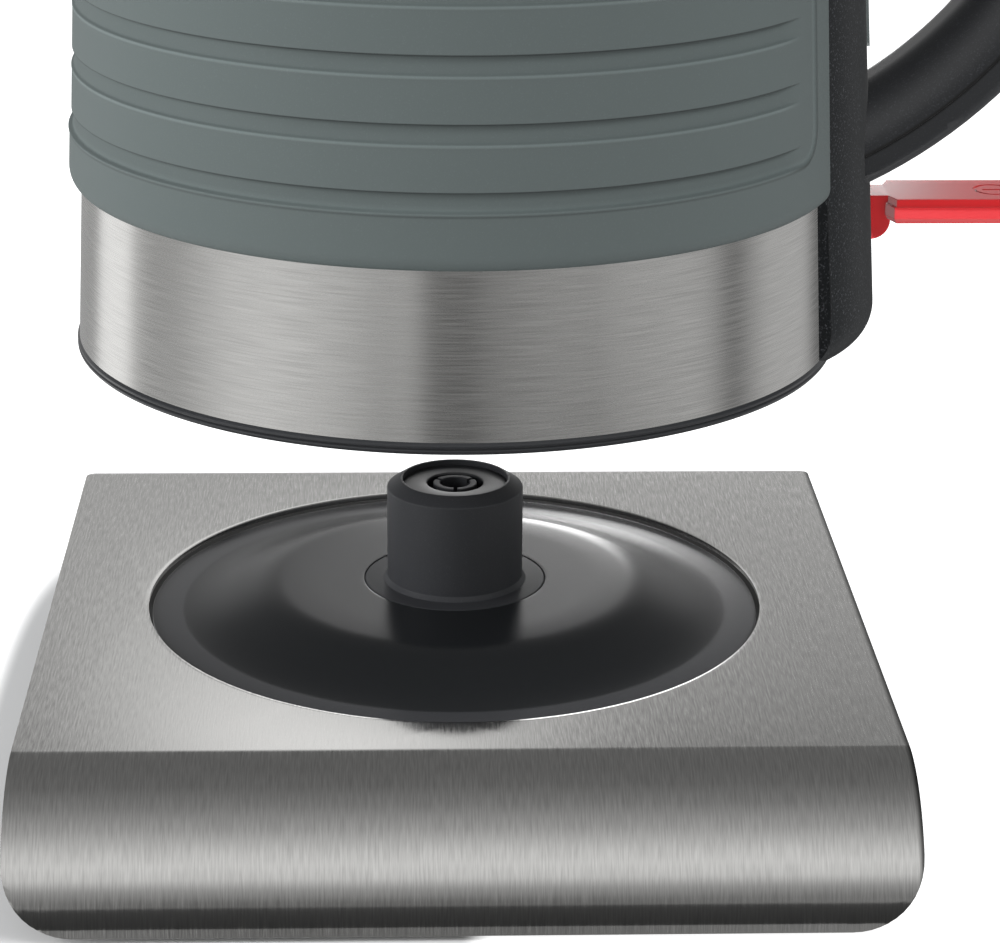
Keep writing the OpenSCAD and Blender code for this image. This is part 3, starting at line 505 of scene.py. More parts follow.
brushing = brushing_group()
mould_grain = grain_group()
print("groups:", [g.name for g in bpy.data.node_groups])


# %% Helpers for surfaces
def surface(tree, shader, pattern, dark, light, height, relief, depth):
    """Base colour between two tones by a pattern, and a height that tilts the normal."""
    feed(tree, mix(tree, pattern, (*dark, 1), (*light, 1)), shader.inputs["Base Color"])
    if relief:
        tilt = add(tree, "ShaderNodeBump", {"Strength": relief, "Distance": depth * MM, "Height": height})
        feed(tree, tilt.outputs[0], shader.inputs["Normal"])


def gloss(tree, shader, pattern, roughness, spread):
    """Roughness that a pattern spreads round its middle value."""
    rough = scaled(tree, pattern, 0.0, 1.0, roughness - spread, roughness + spread)
    feed(tree, rough, shader.inputs["Roughness"])


def grain_of(tree, scale):
    """The mould grain's outputs at the piece's own place."""
    return add(tree, "ShaderNodeGroup", {"Scale": scale, "Vector": place_in(tree)},
        node_tree=mould_grain).outputs


def change_input(material, title, recipe, *sizes):
    """Puts a recipe between the shader and what feeds one of its inputs."""
    tree = material.node_tree
    socket = tree.nodes["Principled BSDF"].inputs[title]
    feed(tree, recipe(tree, socket.links[0].from_socket, *sizes), socket)


def distance_from(tree, centre, scale):
    """Distance from a centre in metres, with each axis scaled."""
    away = vector(tree, "SUBTRACT", place_in(tree), centre)
    return vector(tree, "LENGTH", vector(tree, "MULTIPLY", away, scale), output="Value")


# %% [markdown]
# ## Brushed steel
# Brushed steel is a mirror with fine parallel scratches. It stays sharp along the scratches and
# blurs across them, which the shader's anisotropy gives. The piece's UV map tells it the direction:
# its first axis runs across the brushing.

# %% Brushed steel
STEEL = (0.62, 0.615, 0.60)
LOW_VIEW = 0.70, 0.80                  # how flat a view is where the sheet's gloss begins to fade and has gone


def brushed_steel(name, roughness, anisotropy, contrast, relief, shortness=1.0):
    """Steel brushed along the V axis of the piece's brushing UV map."""
    material, tree, shader = new_material(name, {"Metallic": 1, "Anisotropic": anisotropy})
    u, v, _ = split(tree, add(tree, "ShaderNodeUVMap", uv_map="brush").outputs[0])
    place = combine(tree, calc(tree, "MULTIPLY", v, shortness), u)
    streaks = add(tree, "ShaderNodeGroup", {"Vector": place}, node_tree=brushing).outputs["Streaks"]
    surface(tree, shader, streaks, [c * (1 - contrast) for c in STEEL], [c * (1 + contrast) for c in STEEL],
        streaks, relief, 0.006)
    gloss(tree, shader, streaks, roughness, 0.04)
    tangent = add(tree, "ShaderNodeTangent", direction_type="UV_MAP", uv_map="brush")
    feed(tree, tangent.outputs[0], shader.inputs["Tangent"])
    return material


def edge_shade_and_highlight(tree, colour, half, back):
    """Paints shade on the sheet's cut edge along the right side and a painted highlight along the back."""
    across, along, _ = split(tree, vector(tree, "MULTIPLY", place_in(tree), (5, 5, 0)))
    shade = ramp(tree, across, [(5 * MM * (half - 0.5), 1.0), (5 * MM * (half - 0.3), 0.12)])
    shine = ramp(tree, along, [(5 * MM * (back - 0.7), 0.0), (5 * MM * (back - 0.4), 0.9)])
    return mix(tree, 1.0, mix(tree, shine, colour, WHITE), shade, "MULTIPLY")


def matt_when_low(tree, roughness, matt):
    """Lets the gloss fade where the surface is seen almost from the side."""
    facing = add(tree, "ShaderNodeLayerWeight").outputs["Facing"]
    return mix(tree, scaled(tree, facing, *LOW_VIEW), roughness, matt, kind="FLOAT")


plate_steel = brushed_steel("plate_steel", 0.14, 0.85, 0.15, 0.3)
# painted shade on the plate's right edge and a painted highlight on its back edge
change_input(plate_steel, "Base Color", edge_shade_and_highlight, plate_high.x, plate_high.y)
change_input(plate_steel, "Roughness", matt_when_low, 0.7)
vessel_steel = brushed_steel("vessel_steel", 0.27, 0.9, 0.15, 0.35, 0.4)

# %% [markdown]
# ## Plastics and rubber
# The black pieces differ mostly in grain: a fine even satin on the dish and the post, a coarser
# pitted grain on the column and the handle's grip, and a smoother strip round the handle. The
# sleeve is matt grey rubber.

# %% Plastics and rubber
MOULDED = {  # name: dark tone, light tone, roughness, grains across a metre, depth, specular level
    "satin_black": ((0.016, 0.017, 0.019), (0.025, 0.026, 0.028), 0.30, 3200, 0.02, 0.5),
    "grained_black": ((0.009, 0.010, 0.012), (0.034, 0.036, 0.041), 0.36, 3400, 0.06, 0.6),
    "grip_black": ((0.007, 0.008, 0.010), (0.034, 0.036, 0.041), 0.34, 3400, 0.06, 0.7),
    "strip_black": ((0.014, 0.015, 0.017), (0.028, 0.029, 0.033), 0.40, 3000, 0.03, 0.5),
    "column_black": ((0.005, 0.006, 0.007), (0.045, 0.047, 0.052), 0.44, 2400, 0.06, 0.22),
    "smooth_black": ((0.010, 0.011, 0.013), (0.020, 0.021, 0.024), 0.42, 3000, 0.02, 0.5),
    "dish_black": ((0.007, 0.008, 0.009), (0.013, 0.014, 0.016), 0.24, 3200, 0.02, 0.5),
    "post_black": ((0.029, 0.030, 0.033), (0.041, 0.043, 0.047), 0.45, 3200, 0.02, 0.35),
    "plain_black": ((0.014, 0.015, 0.016), (0.020, 0.021, 0.022), 0.45, 2600, 0.02, 0.5),
    "sleeve_rubber": ((0.069, 0.084, 0.083), (0.079, 0.096, 0.095), 0.6, 3400, 0.015, 0.35),
    "foot_rubber": ((0.020, 0.020, 0.020), (0.030, 0.030, 0.030), 0.75, 1800, 0.03, 0.5),
    "pale_plastic": ((0.62, 0.58, 0.48), (0.70, 0.66, 0.56), 0.5, 2200, 0.02, 0.5),
    "seal_silicone": ((0.40, 0.13, 0.10), (0.47, 0.17, 0.13), 0.55, 1500, 0.02, 0.5),
    "float_red": ((0.60, 0.02, 0.02), (0.68, 0.03, 0.03), 0.25, 1200, 0.01, 0.5),
    "wire_cover": ((0.10, 0.06, 0.04), (0.14, 0.08, 0.05), 0.45, 1500, 0.02, 0.5)}
ARC_CENTRE, ARC_SEAM = (36.3, 114.3), 86.2        # centre of the handle's arc and where its shells meet


def moulded(name, dark, light, roughness, scale, depth, specular):
    """Moulded plastic: pitted grain that also varies the tone a little."""
    material, tree, shader = new_material(name, {"Specular IOR Level": specular})
    grain = grain_of(tree, scale)
    surface(tree, shader, grain["Specks"], dark, light, grain["Height"], 0.3, depth)
    gloss(tree, shader, grain["Height"], roughness, 0.05)
    return material


def paler_ring(tree, colour, radius, paler):
    """Makes a moulding paler outside a radius round the upright axis, where its mould is left matt."""
    place = radius * MM * 10
    distance = distance_from(tree, (0, 0, 0), (10, 10, 0))
    return mix(tree, ramp(tree, distance, [(place - 0.002, 0), (place + 0.002, 1)]), colour, (*paler, 1))


def groove_shade_and_highlight(tree, colour):
    """Scales a colour by the piece's attribute tone of painted light: 0 is painted shade, 0.5 plain and 1
    painted highlight.
    """
    tone = add(tree, "ShaderNodeAttribute", attribute_type="GEOMETRY", attribute_name="tone").outputs["Fac"]
    strength = calc(tree, "MULTIPLY", ramp(tree, tone, [(0, 0.12), (0.5, 0.5), (1, 0.8)]), 2)
    return add(tree, "ShaderNodeVectorMath", {0: colour, "Scale": strength}, operation="SCALE").outputs[0]


def seam_painted_shade(tree, colour, inner, outer):
    """Paints shade on the handle between two radii round its arc, in the groove where its two shells meet."""
    low, high, soft = inner * MM * 10, outer * MM * 10, 0.001
    centre = (ARC_CENTRE[0] * MM, 0, (jug_z + ARC_CENTRE[1]) * MM)
    distance = distance_from(tree, centre, (10, 0, 10))
    shade = ramp(tree, distance, [(low - soft, 1), (low, 0), (high, 0), (high + soft, 1)])
    return mix(tree, 1.0, colour, shade, "MULTIPLY")


plastic = {name: moulded(name, *values) for name, values in MOULDED.items()}
# painted shade along the seam between the grip and the strip
change_input(plastic["grip_black"], "Base Color", seam_painted_shade, ARC_SEAM - 0.5, ARC_SEAM + 1)
change_input(plastic["strip_black"], "Base Color", seam_painted_shade, ARC_SEAM - 1, ARC_SEAM + 0.12)
# painted shade and highlights on the sleeve's grooves and border
change_input(plastic["sleeve_rubber"], "Base Color", groove_shade_and_highlight)
change_input(plastic["dish_black"], "Base Color", paler_ring, ring_r, (0.032, 0.033, 0.036))
print("plastics made:", len(plastic))


# %% Metals, glass and the lever's clear red
def grained(name, colour, shade, scale, relief, values):
    """A plain metal or clear plastic: its tone falls to a share in the grain."""
    material, tree, shader = new_material(name, values)
    height = grain_of(tree, scale)["Height"]
    surface(tree, shader, height, [shade * c for c in colour], colour, height, relief, 0.01)
    return material


def plain_metal(name, colour, roughness):
    """Turned or pressed metal with faint unevenness."""
    return grained(name, colour, 0.8, 900.0, 0.1, {"Metallic": 1, "Roughness": roughness})


def clear(name, colour, roughness, transmission, specular=0.5):
    """Clear or tinted plastic."""
    return grained(name, colour, 0.9, 700.0, 0, {"Roughness": roughness, "Transmission Weight": transmission,
        "IOR": 1.49, "Specular IOR Level": specular})


bright_steel = plain_metal("bright_steel", (0.66, 0.65, 0.63), 0.25)
element_metal = plain_metal("element_metal", (0.45, 0.45, 0.44), 0.35)
cast_aluminium = plain_metal("cast_aluminium", (0.72, 0.73, 0.74), 0.4)
brass = plain_metal("brass", (0.75, 0.55, 0.25), 0.3)
window_clear = clear("window_clear", (0.13, 0.15, 0.15), 0.08, 0.15)
lever_red = clear("lever_red", (0.65, 0.012, 0.016), 0.16, 0.2, 0.45)
lamp_glass = clear("lamp_glass", (0.95, 0.72, 0.5), 0.1, 0.7)
print("materials:", len(bpy.data.materials))

# %% [markdown]
# ## The base's steel plate
# One sheet of steel makes the flat top and rolls down over the front. It is laid out flat first, as
# the sheet is before bending: the outline and the dish's hole in one flat face. Cuts across the
# roll give it enough lines to bend, and then each point is bent round the roll. Thickness and a
# small bevel come last.

# %% Steel plate
half_w = plate_high.x
corner_r, back_r = 12.5, 2.0           # lower front corners, in the front view, and back corners
hole_r = dish_high.x + 0.35
LIP_W, LIP_DROP = 0.9, 0.12            # the hole's edge is pressed down a little
HOLE_STEPS, ROLL_CUTS = 128, 40


def sheet_point(x, s):
    """Bends a point of the flat sheet: s is the distance along it from the kettle's axis."""
    past = s + bend_y
    if past <= 0:
        return (x, -s, plate_top)
    a = past / roll_r
    return (x, bend_y - roll_r * sin(a), plate_top - roll_r * (1 - cos(a)))


def sheet_outline():
    """The sheet's outline, laid flat: round back corners and the rolled-down front corners."""
    corner = []
    for a in (radians(90 * i / 12) for i in range(13)):
        drop = min(1, corner_r * (1 - sin(a)) / roll_r)
        corner.append((half_w - corner_r * (1 - cos(a)), roll_r * acos(drop) - bend_y))
    side = [(half_w, -plate_high.y + back_r)]
    back = [(half_w - back_r + back_r * cos(a), -plate_high.y + back_r - back_r * sin(a))
        for a in (pi / 2 * i / 5 for i in range(5, 0, -1))]
    right_half = back + side + corner
    return right_half + [(-x, s) for x, s in reversed(right_half)]


def steel_plate():
    """The whole sheet: outline and hole filled flat, cut across, bent, thickened and bevelled."""
    made = as_object("steel_plate", [], [])
    with opened(made) as bm:
        uv_layer = bm.loops.layers.uv.new("brush")
        rim = [bm.verts.new((x, s, 0)) for x, s in sheet_outline()]
        turns = [2 * pi * i / HOLE_STEPS for i in range(HOLE_STEPS)]
        hole, lip = ([bm.verts.new((*polar(r, a), 0)) for a in turns] for r in (hole_r, hole_r + LIP_W))
        edges = [bm.edges.new((ring[i - 1], ring[i])) for ring in (rim, lip) for i in range(len(ring))]
        bmesh.ops.triangle_fill(bm, edges=edges, use_beauty=True)
        for i in range(HOLE_STEPS):
            bm.faces.new((hole[i - 1], hole[i], lip[i], lip[i - 1]))
        for i in range(ROLL_CUTS):
            s = -bend_y + roll_r * pi / 2 * i / ROLL_CUTS
            everything = bm.verts[:] + bm.edges[:] + bm.faces[:]
            bmesh.ops.bisect_plane(bm, geom=everything, plane_co=(0, s, 0), plane_no=(0, 1, 0))
        bmesh.ops.recalc_face_normals(bm, faces=bm.faces)
        for face in bm.faces:
            face.smooth = True
            if face.normal.z < 0:
                face.normal_flip()
            for loop in face.loops:
                loop[uv_layer].uv = loop.vert.co.xy * MM
        sunk = set(hole)
        for vert in bm.verts:
            drop = LIP_DROP if vert in sunk else 0
            vert.co = (Vector(sheet_point(vert.co.x, vert.co.y)) - Vector((0, 0, drop))) * MM
    change(made, "SOLIDIFY", thickness=1.0 * MM, offset=-1, use_even_offset=True)
    change(made, "BEVEL", width=0.3 * MM, segments=3, limit_method="ANGLE", angle_limit=radians(50))
    keep(made)
    return even_light(made)


plate = steel_plate()
finish(plate, "base", ["base_plate"], plate_steel)
print("plate:", [round(d / MM, 1) for d in plate.dimensions])

# %% [markdown]
# ## More helpers for finished pieces
# A node's own mesh is loose triangles, so a copy is merged and its flat areas joined before its
# edges are rounded. Brushed pieces get their direction from a UV map in metres.

# %% Copies and brushing maps
def softened(node, width):
    """A copy of a node's mesh with its flat areas joined and its edges rounded."""
    made = bpy.data.objects.new(node + "_finish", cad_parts[node].data.copy())
    scene.collection.objects.link(made)
    with opened(made) as bm:
        bmesh.ops.remove_doubles(bm, verts=bm.verts, dist=0.002 * MM)
        bmesh.ops.dissolve_degenerate(bm, edges=bm.edges, dist=0.001 * MM)
        bmesh.ops.dissolve_limit(bm, angle_limit=radians(0.6), verts=bm.verts, edges=bm.edges)
        bmesh.ops.recalc_face_normals(bm, faces=bm.faces)
    change(made, "BEVEL", width=width * MM, segments=2, limit_method="ANGLE", angle_limit=radians(28))
    keep(made)
    return even_light(clean(made, merge=0.0005, smooth_angle=40))


def brush_map(made, place):
    """Sets the brushing map from each corner's position: place(x, y, z, centre) in millimetres."""
    with opened(made) as bm:
        layer = bm.loops.layers.uv.new("brush")
        for face in bm.faces:
            centre = face.calc_center_median() / MM
            for loop in face.loops:
                loop[layer].uv = Vector(place(*(loop.vert.co / MM), centre)) * MM
    return made


def round_the_jug(x, y, z, centre):
    """Brushed round the axis: U runs up and V runs round. The seam is at the handle."""
    whole = 2 * pi
    middle, turn = atan2(centre.y, centre.x) % whole, atan2(y, x) % whole
    if abs(turn - middle) > pi:
        turn += whole if turn < middle else -whole
    return z, turn * vessel_foot_r


def smooth(low, high, value):
    """0 at low and 1 at high, with a soft start and end; low may be the larger."""
    t = min(1, max(0, (value - low) / (high - low)))
    return t * t * (3 - 2 * t)


print("helpers ready")

# %% [markdown]
# ## The base's dish, post and ring
# The dish rises from a flat ring to a hill, and the connector post stands on it. A light line runs
# along every rounded edge, so the profiles are rounded and not only cut.

# %% Dish
hill_top = dish_high.z
HILL_SLOPES = [(27.0, 0.0), (34.0, 0.12), (39.5, 1.0), (46.0, 1.0), (ring_r, 0.3)]    # radius and steepness
DISH_STEPS = 48
dish_r = dish_high.x - 0.5             # leaves a narrow dark gap inside the plate's hole
ring_z = plate_top - 0.2
ring_fall = 0.12                       # how far the flat ring drops towards its outer edge
flange_r = 17.9                        # of the post's foot
dish_t = 2.0


def hill_drop(r):
    """Area under the line of slopes, up to a radius."""
    area = 0
    for (r0, slope0), (r1, slope1) in zip(HILL_SLOPES, HILL_SLOPES[1:]):
        part = min(max(r - r0, 0), r1 - r0)
        area += part * (slope0 + (slope1 - slope0) * part / (2 * (r1 - r0)))
    return area


def hill(r):
    """Height of the dish: a flat top, a round shoulder, a slope and a hollow curve into the ring."""
    return hill_top - (hill_top - ring_z) * hill_drop(r) / hill_drop(ring_r)


radii = [18.0 + (ring_r - 18.0) * i / DISH_STEPS for i in range(DISH_STEPS + 1)]
dish_top = [(r, hill(r)) for r in radii]
dish_profile = rounded([(18.0, hill_top - 1.8), (*dish_top[0], 0.15), *dish_top[1:],
    (dish_r, ring_z - ring_fall, 0.3), (dish_r, plate_top - 1.6, 0.2), (54.3, plate_top - 1.6)])
dish_under = [(r, z - dish_t) for r, z in dish_top[::-6]]
dish = spin("dish", dish_profile + dish_under, 256)
finish(dish, "base", ["base_dish"], plastic["dish_black"])

# %% Post and shutter ring
post_r, bore_r = 13.4, 12.0
hub_r, hub_hole_r, groove_r, recess_r = 4.3, 3.0, 5.5, 10.3
post_z = post_high.z
flange_z, recess_z, groove_z = hill_top - 2.0, post_z - 3.1, post_z - 10.7
post = spin("post", rounded([(bore_r, post_low.z), (bore_r, flange_z), (flange_r, flange_z),
    (flange_r, hill_top, 0.35), (post_r + 0.7, hill_top, 0.3), (post_r, hill_top + 0.9, 0.5),
    (post_r, post_z - 1.7, 0.5), (recess_r + 0.5, post_z, 0.35), (recess_r, post_z, 0.2),
    (recess_r, recess_z, 0.3), (groove_r, recess_z, 0.2), (groove_r, groove_z), (hub_r, groove_z),
    (hub_r, post_z - 1, 0.2), (hub_hole_r, post_z - 1, 0.2), (hub_hole_r, post_low.z)], 5))
for angle in (30, 150, 270):
    notch = brick("notch", (2.5, -0.4, post_z - 2), (groove_r, 0.4, post_z))
    cut(post, move(notch, (0, 0, 0), Matrix.Rotation(radians(angle), 4, "Z")))
finish(clean(post), "base", ["connector_post"], plastic["post_black"])

shutter = spin("shutter", rounded([(7.8, ring_low.z), (ring_high.x, ring_low.z, 0.1),
    (ring_high.x, ring_high.z, 0.35), (groove_r, ring_high.z, 0.35), (groove_r, ring_low.z, 0.1),
    (7.7, ring_low.z)], 5), 128)
finish(shutter, "connector_ring", ["shutter_ring"], plastic["satin_black"])

# %% [markdown]
# ## The jug's steel vessel and its foot
# The vessel is one thin wall that tapers upwards. Its foot is a black moulding with two fine beads
# round the edge that the jug stands on.

# %% Vessel
floor_z, plate_seat, ledge_w = 35.0, 36.2, 8.0    # of the ledge that carries the heating plate
SLOT_HALF, SLOT_LOW, SLOT_HIGH = 4.65, 17.8, 29.8     # opening for the lever, in heights above the jug's foot


def at_jug(profile):
    return [(p[0], p[1] + jug_z, *p[2:]) for p in profile]


def vessel():
    """The steel wall with its ledge, and openings for the lever, the gauge and the spout."""
    outside = [(vessel_r(z), z) for z in (rim_h, 30, 60, 90, 120, 150, 180, vessel_h)]
    inside = [(vessel_r(z) - wall, z) for z in (vessel_h, 180, 120, 60, plate_seat)]
    inner = vessel_r(floor_z) - wall
    ledge = [(inner - ledge_w, plate_seat), (inner - ledge_w, floor_z), (inner, floor_z)]
    made = spin("vessel", at_jug(outside + inside + ledge + [(vessel_r(rim_h) - wall, rim_h)]), 256)
    for low, high in (((0, -SLOT_HALF, SLOT_LOW), (100, SLOT_HALF, SLOT_HIGH)),
            ((0, -3.5, 56), (100, 3.5, 166)), ((-100, -12, 176), (0, 12, 192))):
        cut(made, move(brick("window", low, high), (0, 0, jug_z)))
    return brush_map(clean(made), round_the_jug)


finish(vessel(), "jug", ["jug_shell"], vessel_steel)

# %% Foot moulding
rim_r = rim_high.x
SCREW_PLACES, SCREW_CIRCLE = (90, 210, 330), 24    # degrees round the axis, and the radius they lie on


def foot_moulding():
    """The ring that the jug stands on, with a wall inside the vessel and holes for three screws."""
    bore, bore_foot = (vessel_r(z) - wall - 0.1 for z in (12, rim_h))
    made = spin("foot_moulding", at_jug(rounded([(16.0, 6.2), (rim_r - 8, 6.2, 0.4),
        (rim_r - 6, 4.2, 0.3), (rim_r - 6, 0, 0.3), (rim_r - 0.5, 0, 0.3), (rim_r, 0.55, 0.25),
        (rim_r, 0.88, 0.15), (rim_r - 0.5, 1.1, 0.08), (rim_r, 1.32, 0.15), (rim_r, 1.76, 0.25),
        (rim_r - 0.4, rim_h, 0.15), (bore_foot, rim_h), (bore, 12, 0.4), (bore - 2, 12, 0.4),
        (bore - 3, 8.2), (16.0, 8.2)])), 256)
    for a in map(radians, SCREW_PLACES):
        for radius, top in ((1.7, 13), (3.2, 7.2)):
            hole = spin("hole", at_jug([(0.001, -1), (radius, -1), (radius, top), (0.001, top)]), 32, False)
            cut(made, move(hole, (*polar(SCREW_CIRCLE, a), 0)))
    return clean(made)


finish(foot_moulding(), "jug", ["bottom_moulding"], plastic["satin_black"])

# %% [markdown]
# ## The grip sleeve
# The rubber sleeve is one height field round the jug. Its ends stop at the handle's column. Inside a
# rounded border the surface is a little lower, and ten grooves run round it and fade out before
# they reach the border.

# %% Shape of the sleeve
groove_w, groove_depth = 3.4, 1.0
grooves = [(middle - groove_w / 2, middle + groove_w / 2) for middle in (44.6 + 11.544 * i for i in range(10))]
panel_low, panel_high = grooves[0][0], grooves[-1][1]
panel_corner, panel_end = 6.0, 8.6     # the border's corner radius and its distance from the rubber's end
sleeve_z0, sleeve_z1 = sleeve_low.z - jug_z, sleeve_high.z - jug_z
sleeve_t = 2.3
sleeve_edge, end_edge = 3.0, 0.5       # rounding of the long edges and of the two ends
sleeve_half = column_half + 0.1        # the ends stand against the column's flat sides
sleeve_mid_r = 73.0


def inside_border(along, z):
    """Distance inside the panel's rounded border; outside it the distance is negative."""
    dx = max(0, panel_end + panel_corner - along)
    dz = max(0, panel_low + panel_corner - z, z - (panel_high - panel_corner))
    return panel_corner - hypot(dx, dz)


def sleeve_depth(along, z):
    """How far the rubber stands off the vessel, by the distance to the nearer end and the height."""
    low = min(1, (z - sleeve_z0) / sleeve_edge)
    high = min(1, (sleeve_z1 - z) / sleeve_edge)
    t = sleeve_t * sqrt(max(0, 1 - (1 - low) ** 2)) * sqrt(max(0, 1 - (1 - high) ** 2))
    inside = inside_border(along, z)
    t -= 0.3 * smooth(-0.15, 0.3, inside) - 0.12 * smooth(-0.9, -0.2, inside) * smooth(0.1, -0.2, inside)
    fade = smooth(13.5, 22, along)
    for bottom, top in grooves:
        t += 0.1 * fade * smooth(bottom - 1.0, bottom - 0.2, z) * smooth(bottom + 0.2, bottom - 0.1, z)
        if bottom - 0.1 < z < top:
            slope = 0.28 + 0.72 * (z - bottom) / groove_w
            sides = smooth(top, top - 0.2, z) * smooth(bottom - 0.1, bottom + 0.4, z)
            t -= groove_depth * fade * slope * sides
    return t


def sleeve_shade_and_highlight(along, z):
    """Painted light on the rubber: painted shade under each groove's upper lip and just outside the border,
    painted highlight on each lower lip and just inside the border.
    """
    inside = inside_border(along, z)
    tone = 0.5 - 0.3 * smooth(-0.9, -0.5, inside) * smooth(0.1, -0.3, inside)
    tone += 0.16 * smooth(-0.2, 0.3, inside) * smooth(1.0, 0.5, inside)
    fade = smooth(13.5, 22, along)
    for bottom, top in grooves:
        tone -= 0.5 * fade * smooth(top - 0.5, top - 0.1, z) * smooth(top + 0.15, top, z)
        tone += 0.35 * fade * smooth(bottom - 0.7, bottom - 0.3, z) * smooth(bottom + 0.1, bottom - 0.2, z)
    return tone


# %% Mesh of the sleeve
GROOVE_ROWS = (-2.7, -2.4, -2.1, -1.9, -1.8, -1.7, -1.6, -1.5, -1.4, -1.25, -1.0, -0.4, 0.3, 0.9, 1.3, 1.4,
    1.48, 1.55, 1.62, 1.7, 1.78, 1.86, 3.0, 4.6, 6.2, 7.8, 9.2)     # heights round a groove's middle


def sleeve_rows():
    """Heights of the mesh's rows: close together at the edges, the grooves and the border."""
    heights = []
    for i in range(13):
        lift = sleeve_edge * (1 - cos(pi / 2 * i / 12))
        heights += [sleeve_z0 + lift, sleeve_z1 - lift]
    for bottom, top in grooves:
        heights += [(bottom + top) / 2 + step for step in GROOVE_ROWS]
    for i in range(12):
        heights += [panel_low - 0.6 + 0.6 * i, panel_high + 0.6 - 0.6 * i]
    return sorted({round(h, 3) for h in heights if sleeve_z0 <= round(h, 3) <= sleeve_z1})


def sleeve_steps(whole):
    """Distances along the rubber: fine at both ends, where the border and the fading grooves are."""
    steps = [0.0]
    while steps[-1] < whole / 2:
        steps.append(steps[-1] + (0.5 if steps[-1] < 26 else 2.2))
    steps = [s * (whole / 2) / steps[-1] for s in steps]
    return steps + [whole - s for s in reversed(steps[:-1])]


def sleeve():
    """Sections from one end to the other, each up the outside and down the inside."""
    rows = sleeve_rows()
    whole = 2 * sleeve_mid_r * (pi - asin(sleeve_half / sleeve_mid_r))
    sections, shade_and_highlight_levels = [], []
    for s in sleeve_steps(whole):
        along = min(s, whole - s)
        side = end_edge - sqrt(end_edge ** 2 - max(0, end_edge - along) ** 2)
        outer = [(vessel_r(z) + 0.05 + max(0.02, sleeve_depth(along, z) - side), z) for z in rows]
        inner = [(vessel_r(z) + 0.03, z) for z in reversed(rows[::12] + rows[-1:])]
        section = []
        for r, z in outer + inner:
            end = asin(sleeve_half / r)
            a = end + s / whole * 2 * (pi - end)
            section.append((*polar(r, a), z + jug_z))
        sections.append(section)
        shade_and_highlight_levels += [sleeve_shade_and_highlight(along, z) for z in rows] + [0.5] * len(inner)
    made = skin("sleeve", sections)
    # the attribute tone holds the painted shade and highlights of the grooves and the border
    made.data.attributes.new("tone", "FLOAT", "POINT").data.foreach_set("value", shade_and_highlight_levels)
    return clean(made, smooth_angle=50)


finish(sleeve(), "jug", ["grip_sleeve"], plastic["sleeve_rubber"])

# %% [markdown]
# ## The handle's column
# The column is a hollow moulding with a gently round front and flat sides, and it leans with the
# jug. It is lofted from level sections, each a little narrower towards the rounded foot. Its back
# ends inside the vessel's wall, where it can't be seen, and a fine groove runs down each corner.

# %% Column
column_round, column_foot, column_side = 36.0, 8.0, 2.5
face_foot = 81.1                       # the column's face at the height of the jug's foot
lean = radians(4.0014)
collar_low, collar_r, collar_top = 190.0, 64.2, 203.0
seam_w, seam_depth = 0.16, 0.4         # of the fine groove down each corner
COLUMN_ROWS = (20, 40, 60, 80, 100, 120, 140, 160, 180, collar_low - 0.1, collar_low, 197, collar_top)


def face_x(z):
    """How far out the column's face stands at a height above the jug's foot."""
    return face_foot - tan(lean) * z


def arc(radius, edge, steps, middle=0.0):
    """Points on an arc from one edge to the other, about a middle on the X axis."""
    turns = [edge * (2 * i / steps - 1) for i in range(steps + 1)]
    return [(middle + radius * cos(a), radius * sin(a)) for a in turns]


def column_section(z):
    """A level outline of the column at a height above the jug's foot."""
    inset, side_inset = (r - sqrt(r * r - max(0, r - z) ** 2) for r in (column_foot, column_side))
    back = (vessel_r(z) if z < collar_low else collar_r) - 0.5
    half = column_half - side_inset
    front = arc(column_round, asin(half / column_round), 40, face_x(z) - column_round - inset)
    corner = front[0][0]
    right_side = [(corner - 4 * seam_w, -half), (corner - seam_w, -half),
        (corner - seam_w - 0.1, -half + seam_depth)]
    left_side = [(x, -y) for x, y in reversed(right_side)]
    outline = []
    for x, y in right_side + front + left_side:
        keep_out = max(1, back / hypot(x, y))
        outline.append((x * keep_out, y * keep_out))
    return at_height(outline + arc(back, asin(half / back), 24)[::-1], z)


def at_height(outline, z):
    return [(x, y, z + jug_z) for x, y in outline]


def column():
    """The lofted column with the lever's slot and the gauge's leaning window."""
    heights = [column_foot * (1 - cos(pi / 2 * i / 20)) for i in range(21)]
    made = clean(skin("column", [column_section(z) for z in [*heights, *COLUMN_ROWS]]))
    slot = brick("slot", (60, -SLOT_HALF, SLOT_LOW), (100, SLOT_HALF, SLOT_HIGH))
    cut(made, move(slot, (0, 0, jug_z)))
    window = brick("window", (-20, -3.45, 56.95), (6, 3.45, 165.05))
    cut(made, move(window, (face_foot, 0, jug_z), Matrix.Rotation(-lean, 4, "Y")))
    return even_light(clean(made, merge=0.001, smooth_angle=32))


finish(column(), "jug", ["handle_column"], plastic["column_black"])

# %% [markdown]
# ## The switch lever
# The lever is moulded in clear red plastic. Its paddle has a raised lip round the flat top, a step
# where it narrows to the hub, and the sign for power pressed into it: a ring with a short bar.

# %% Lever
pivot_z = 23.3
shoulder_x = face_x(pivot_z) - 0.2
lever_top, lever_t = pivot_z + 5.0, 4.7
paddle_end, paddle_half, paddle_r = lever_high.x, 8.0, 6.0
hub_half, hub_back = 3.7, 3.6          # half the hub's height, and how far its pin lies behind the shoulder
sign_r, sign_depth = 3.95, 0.35


def paddle_outline(inset, steps=10):
    """The paddle from above, smaller by inset all round."""
    x0, x1 = shoulder_x + 2.6 + inset, paddle_end - inset
    half, r = paddle_half - inset, paddle_r - inset
    line = [(x0, 3.4 - half), (x0 + 1.2, -half)]
    for y, start in ((-half + r, -90), (half - r, 0)):
        turns = [radians(start + 90 * i / steps) for i in range(steps + 1)]
        line += [(x1 - r + r * cos(a), y + r * sin(a)) for a in turns]
    return line + [(x0 + 1.2, half), (x0, half - 3.4)]


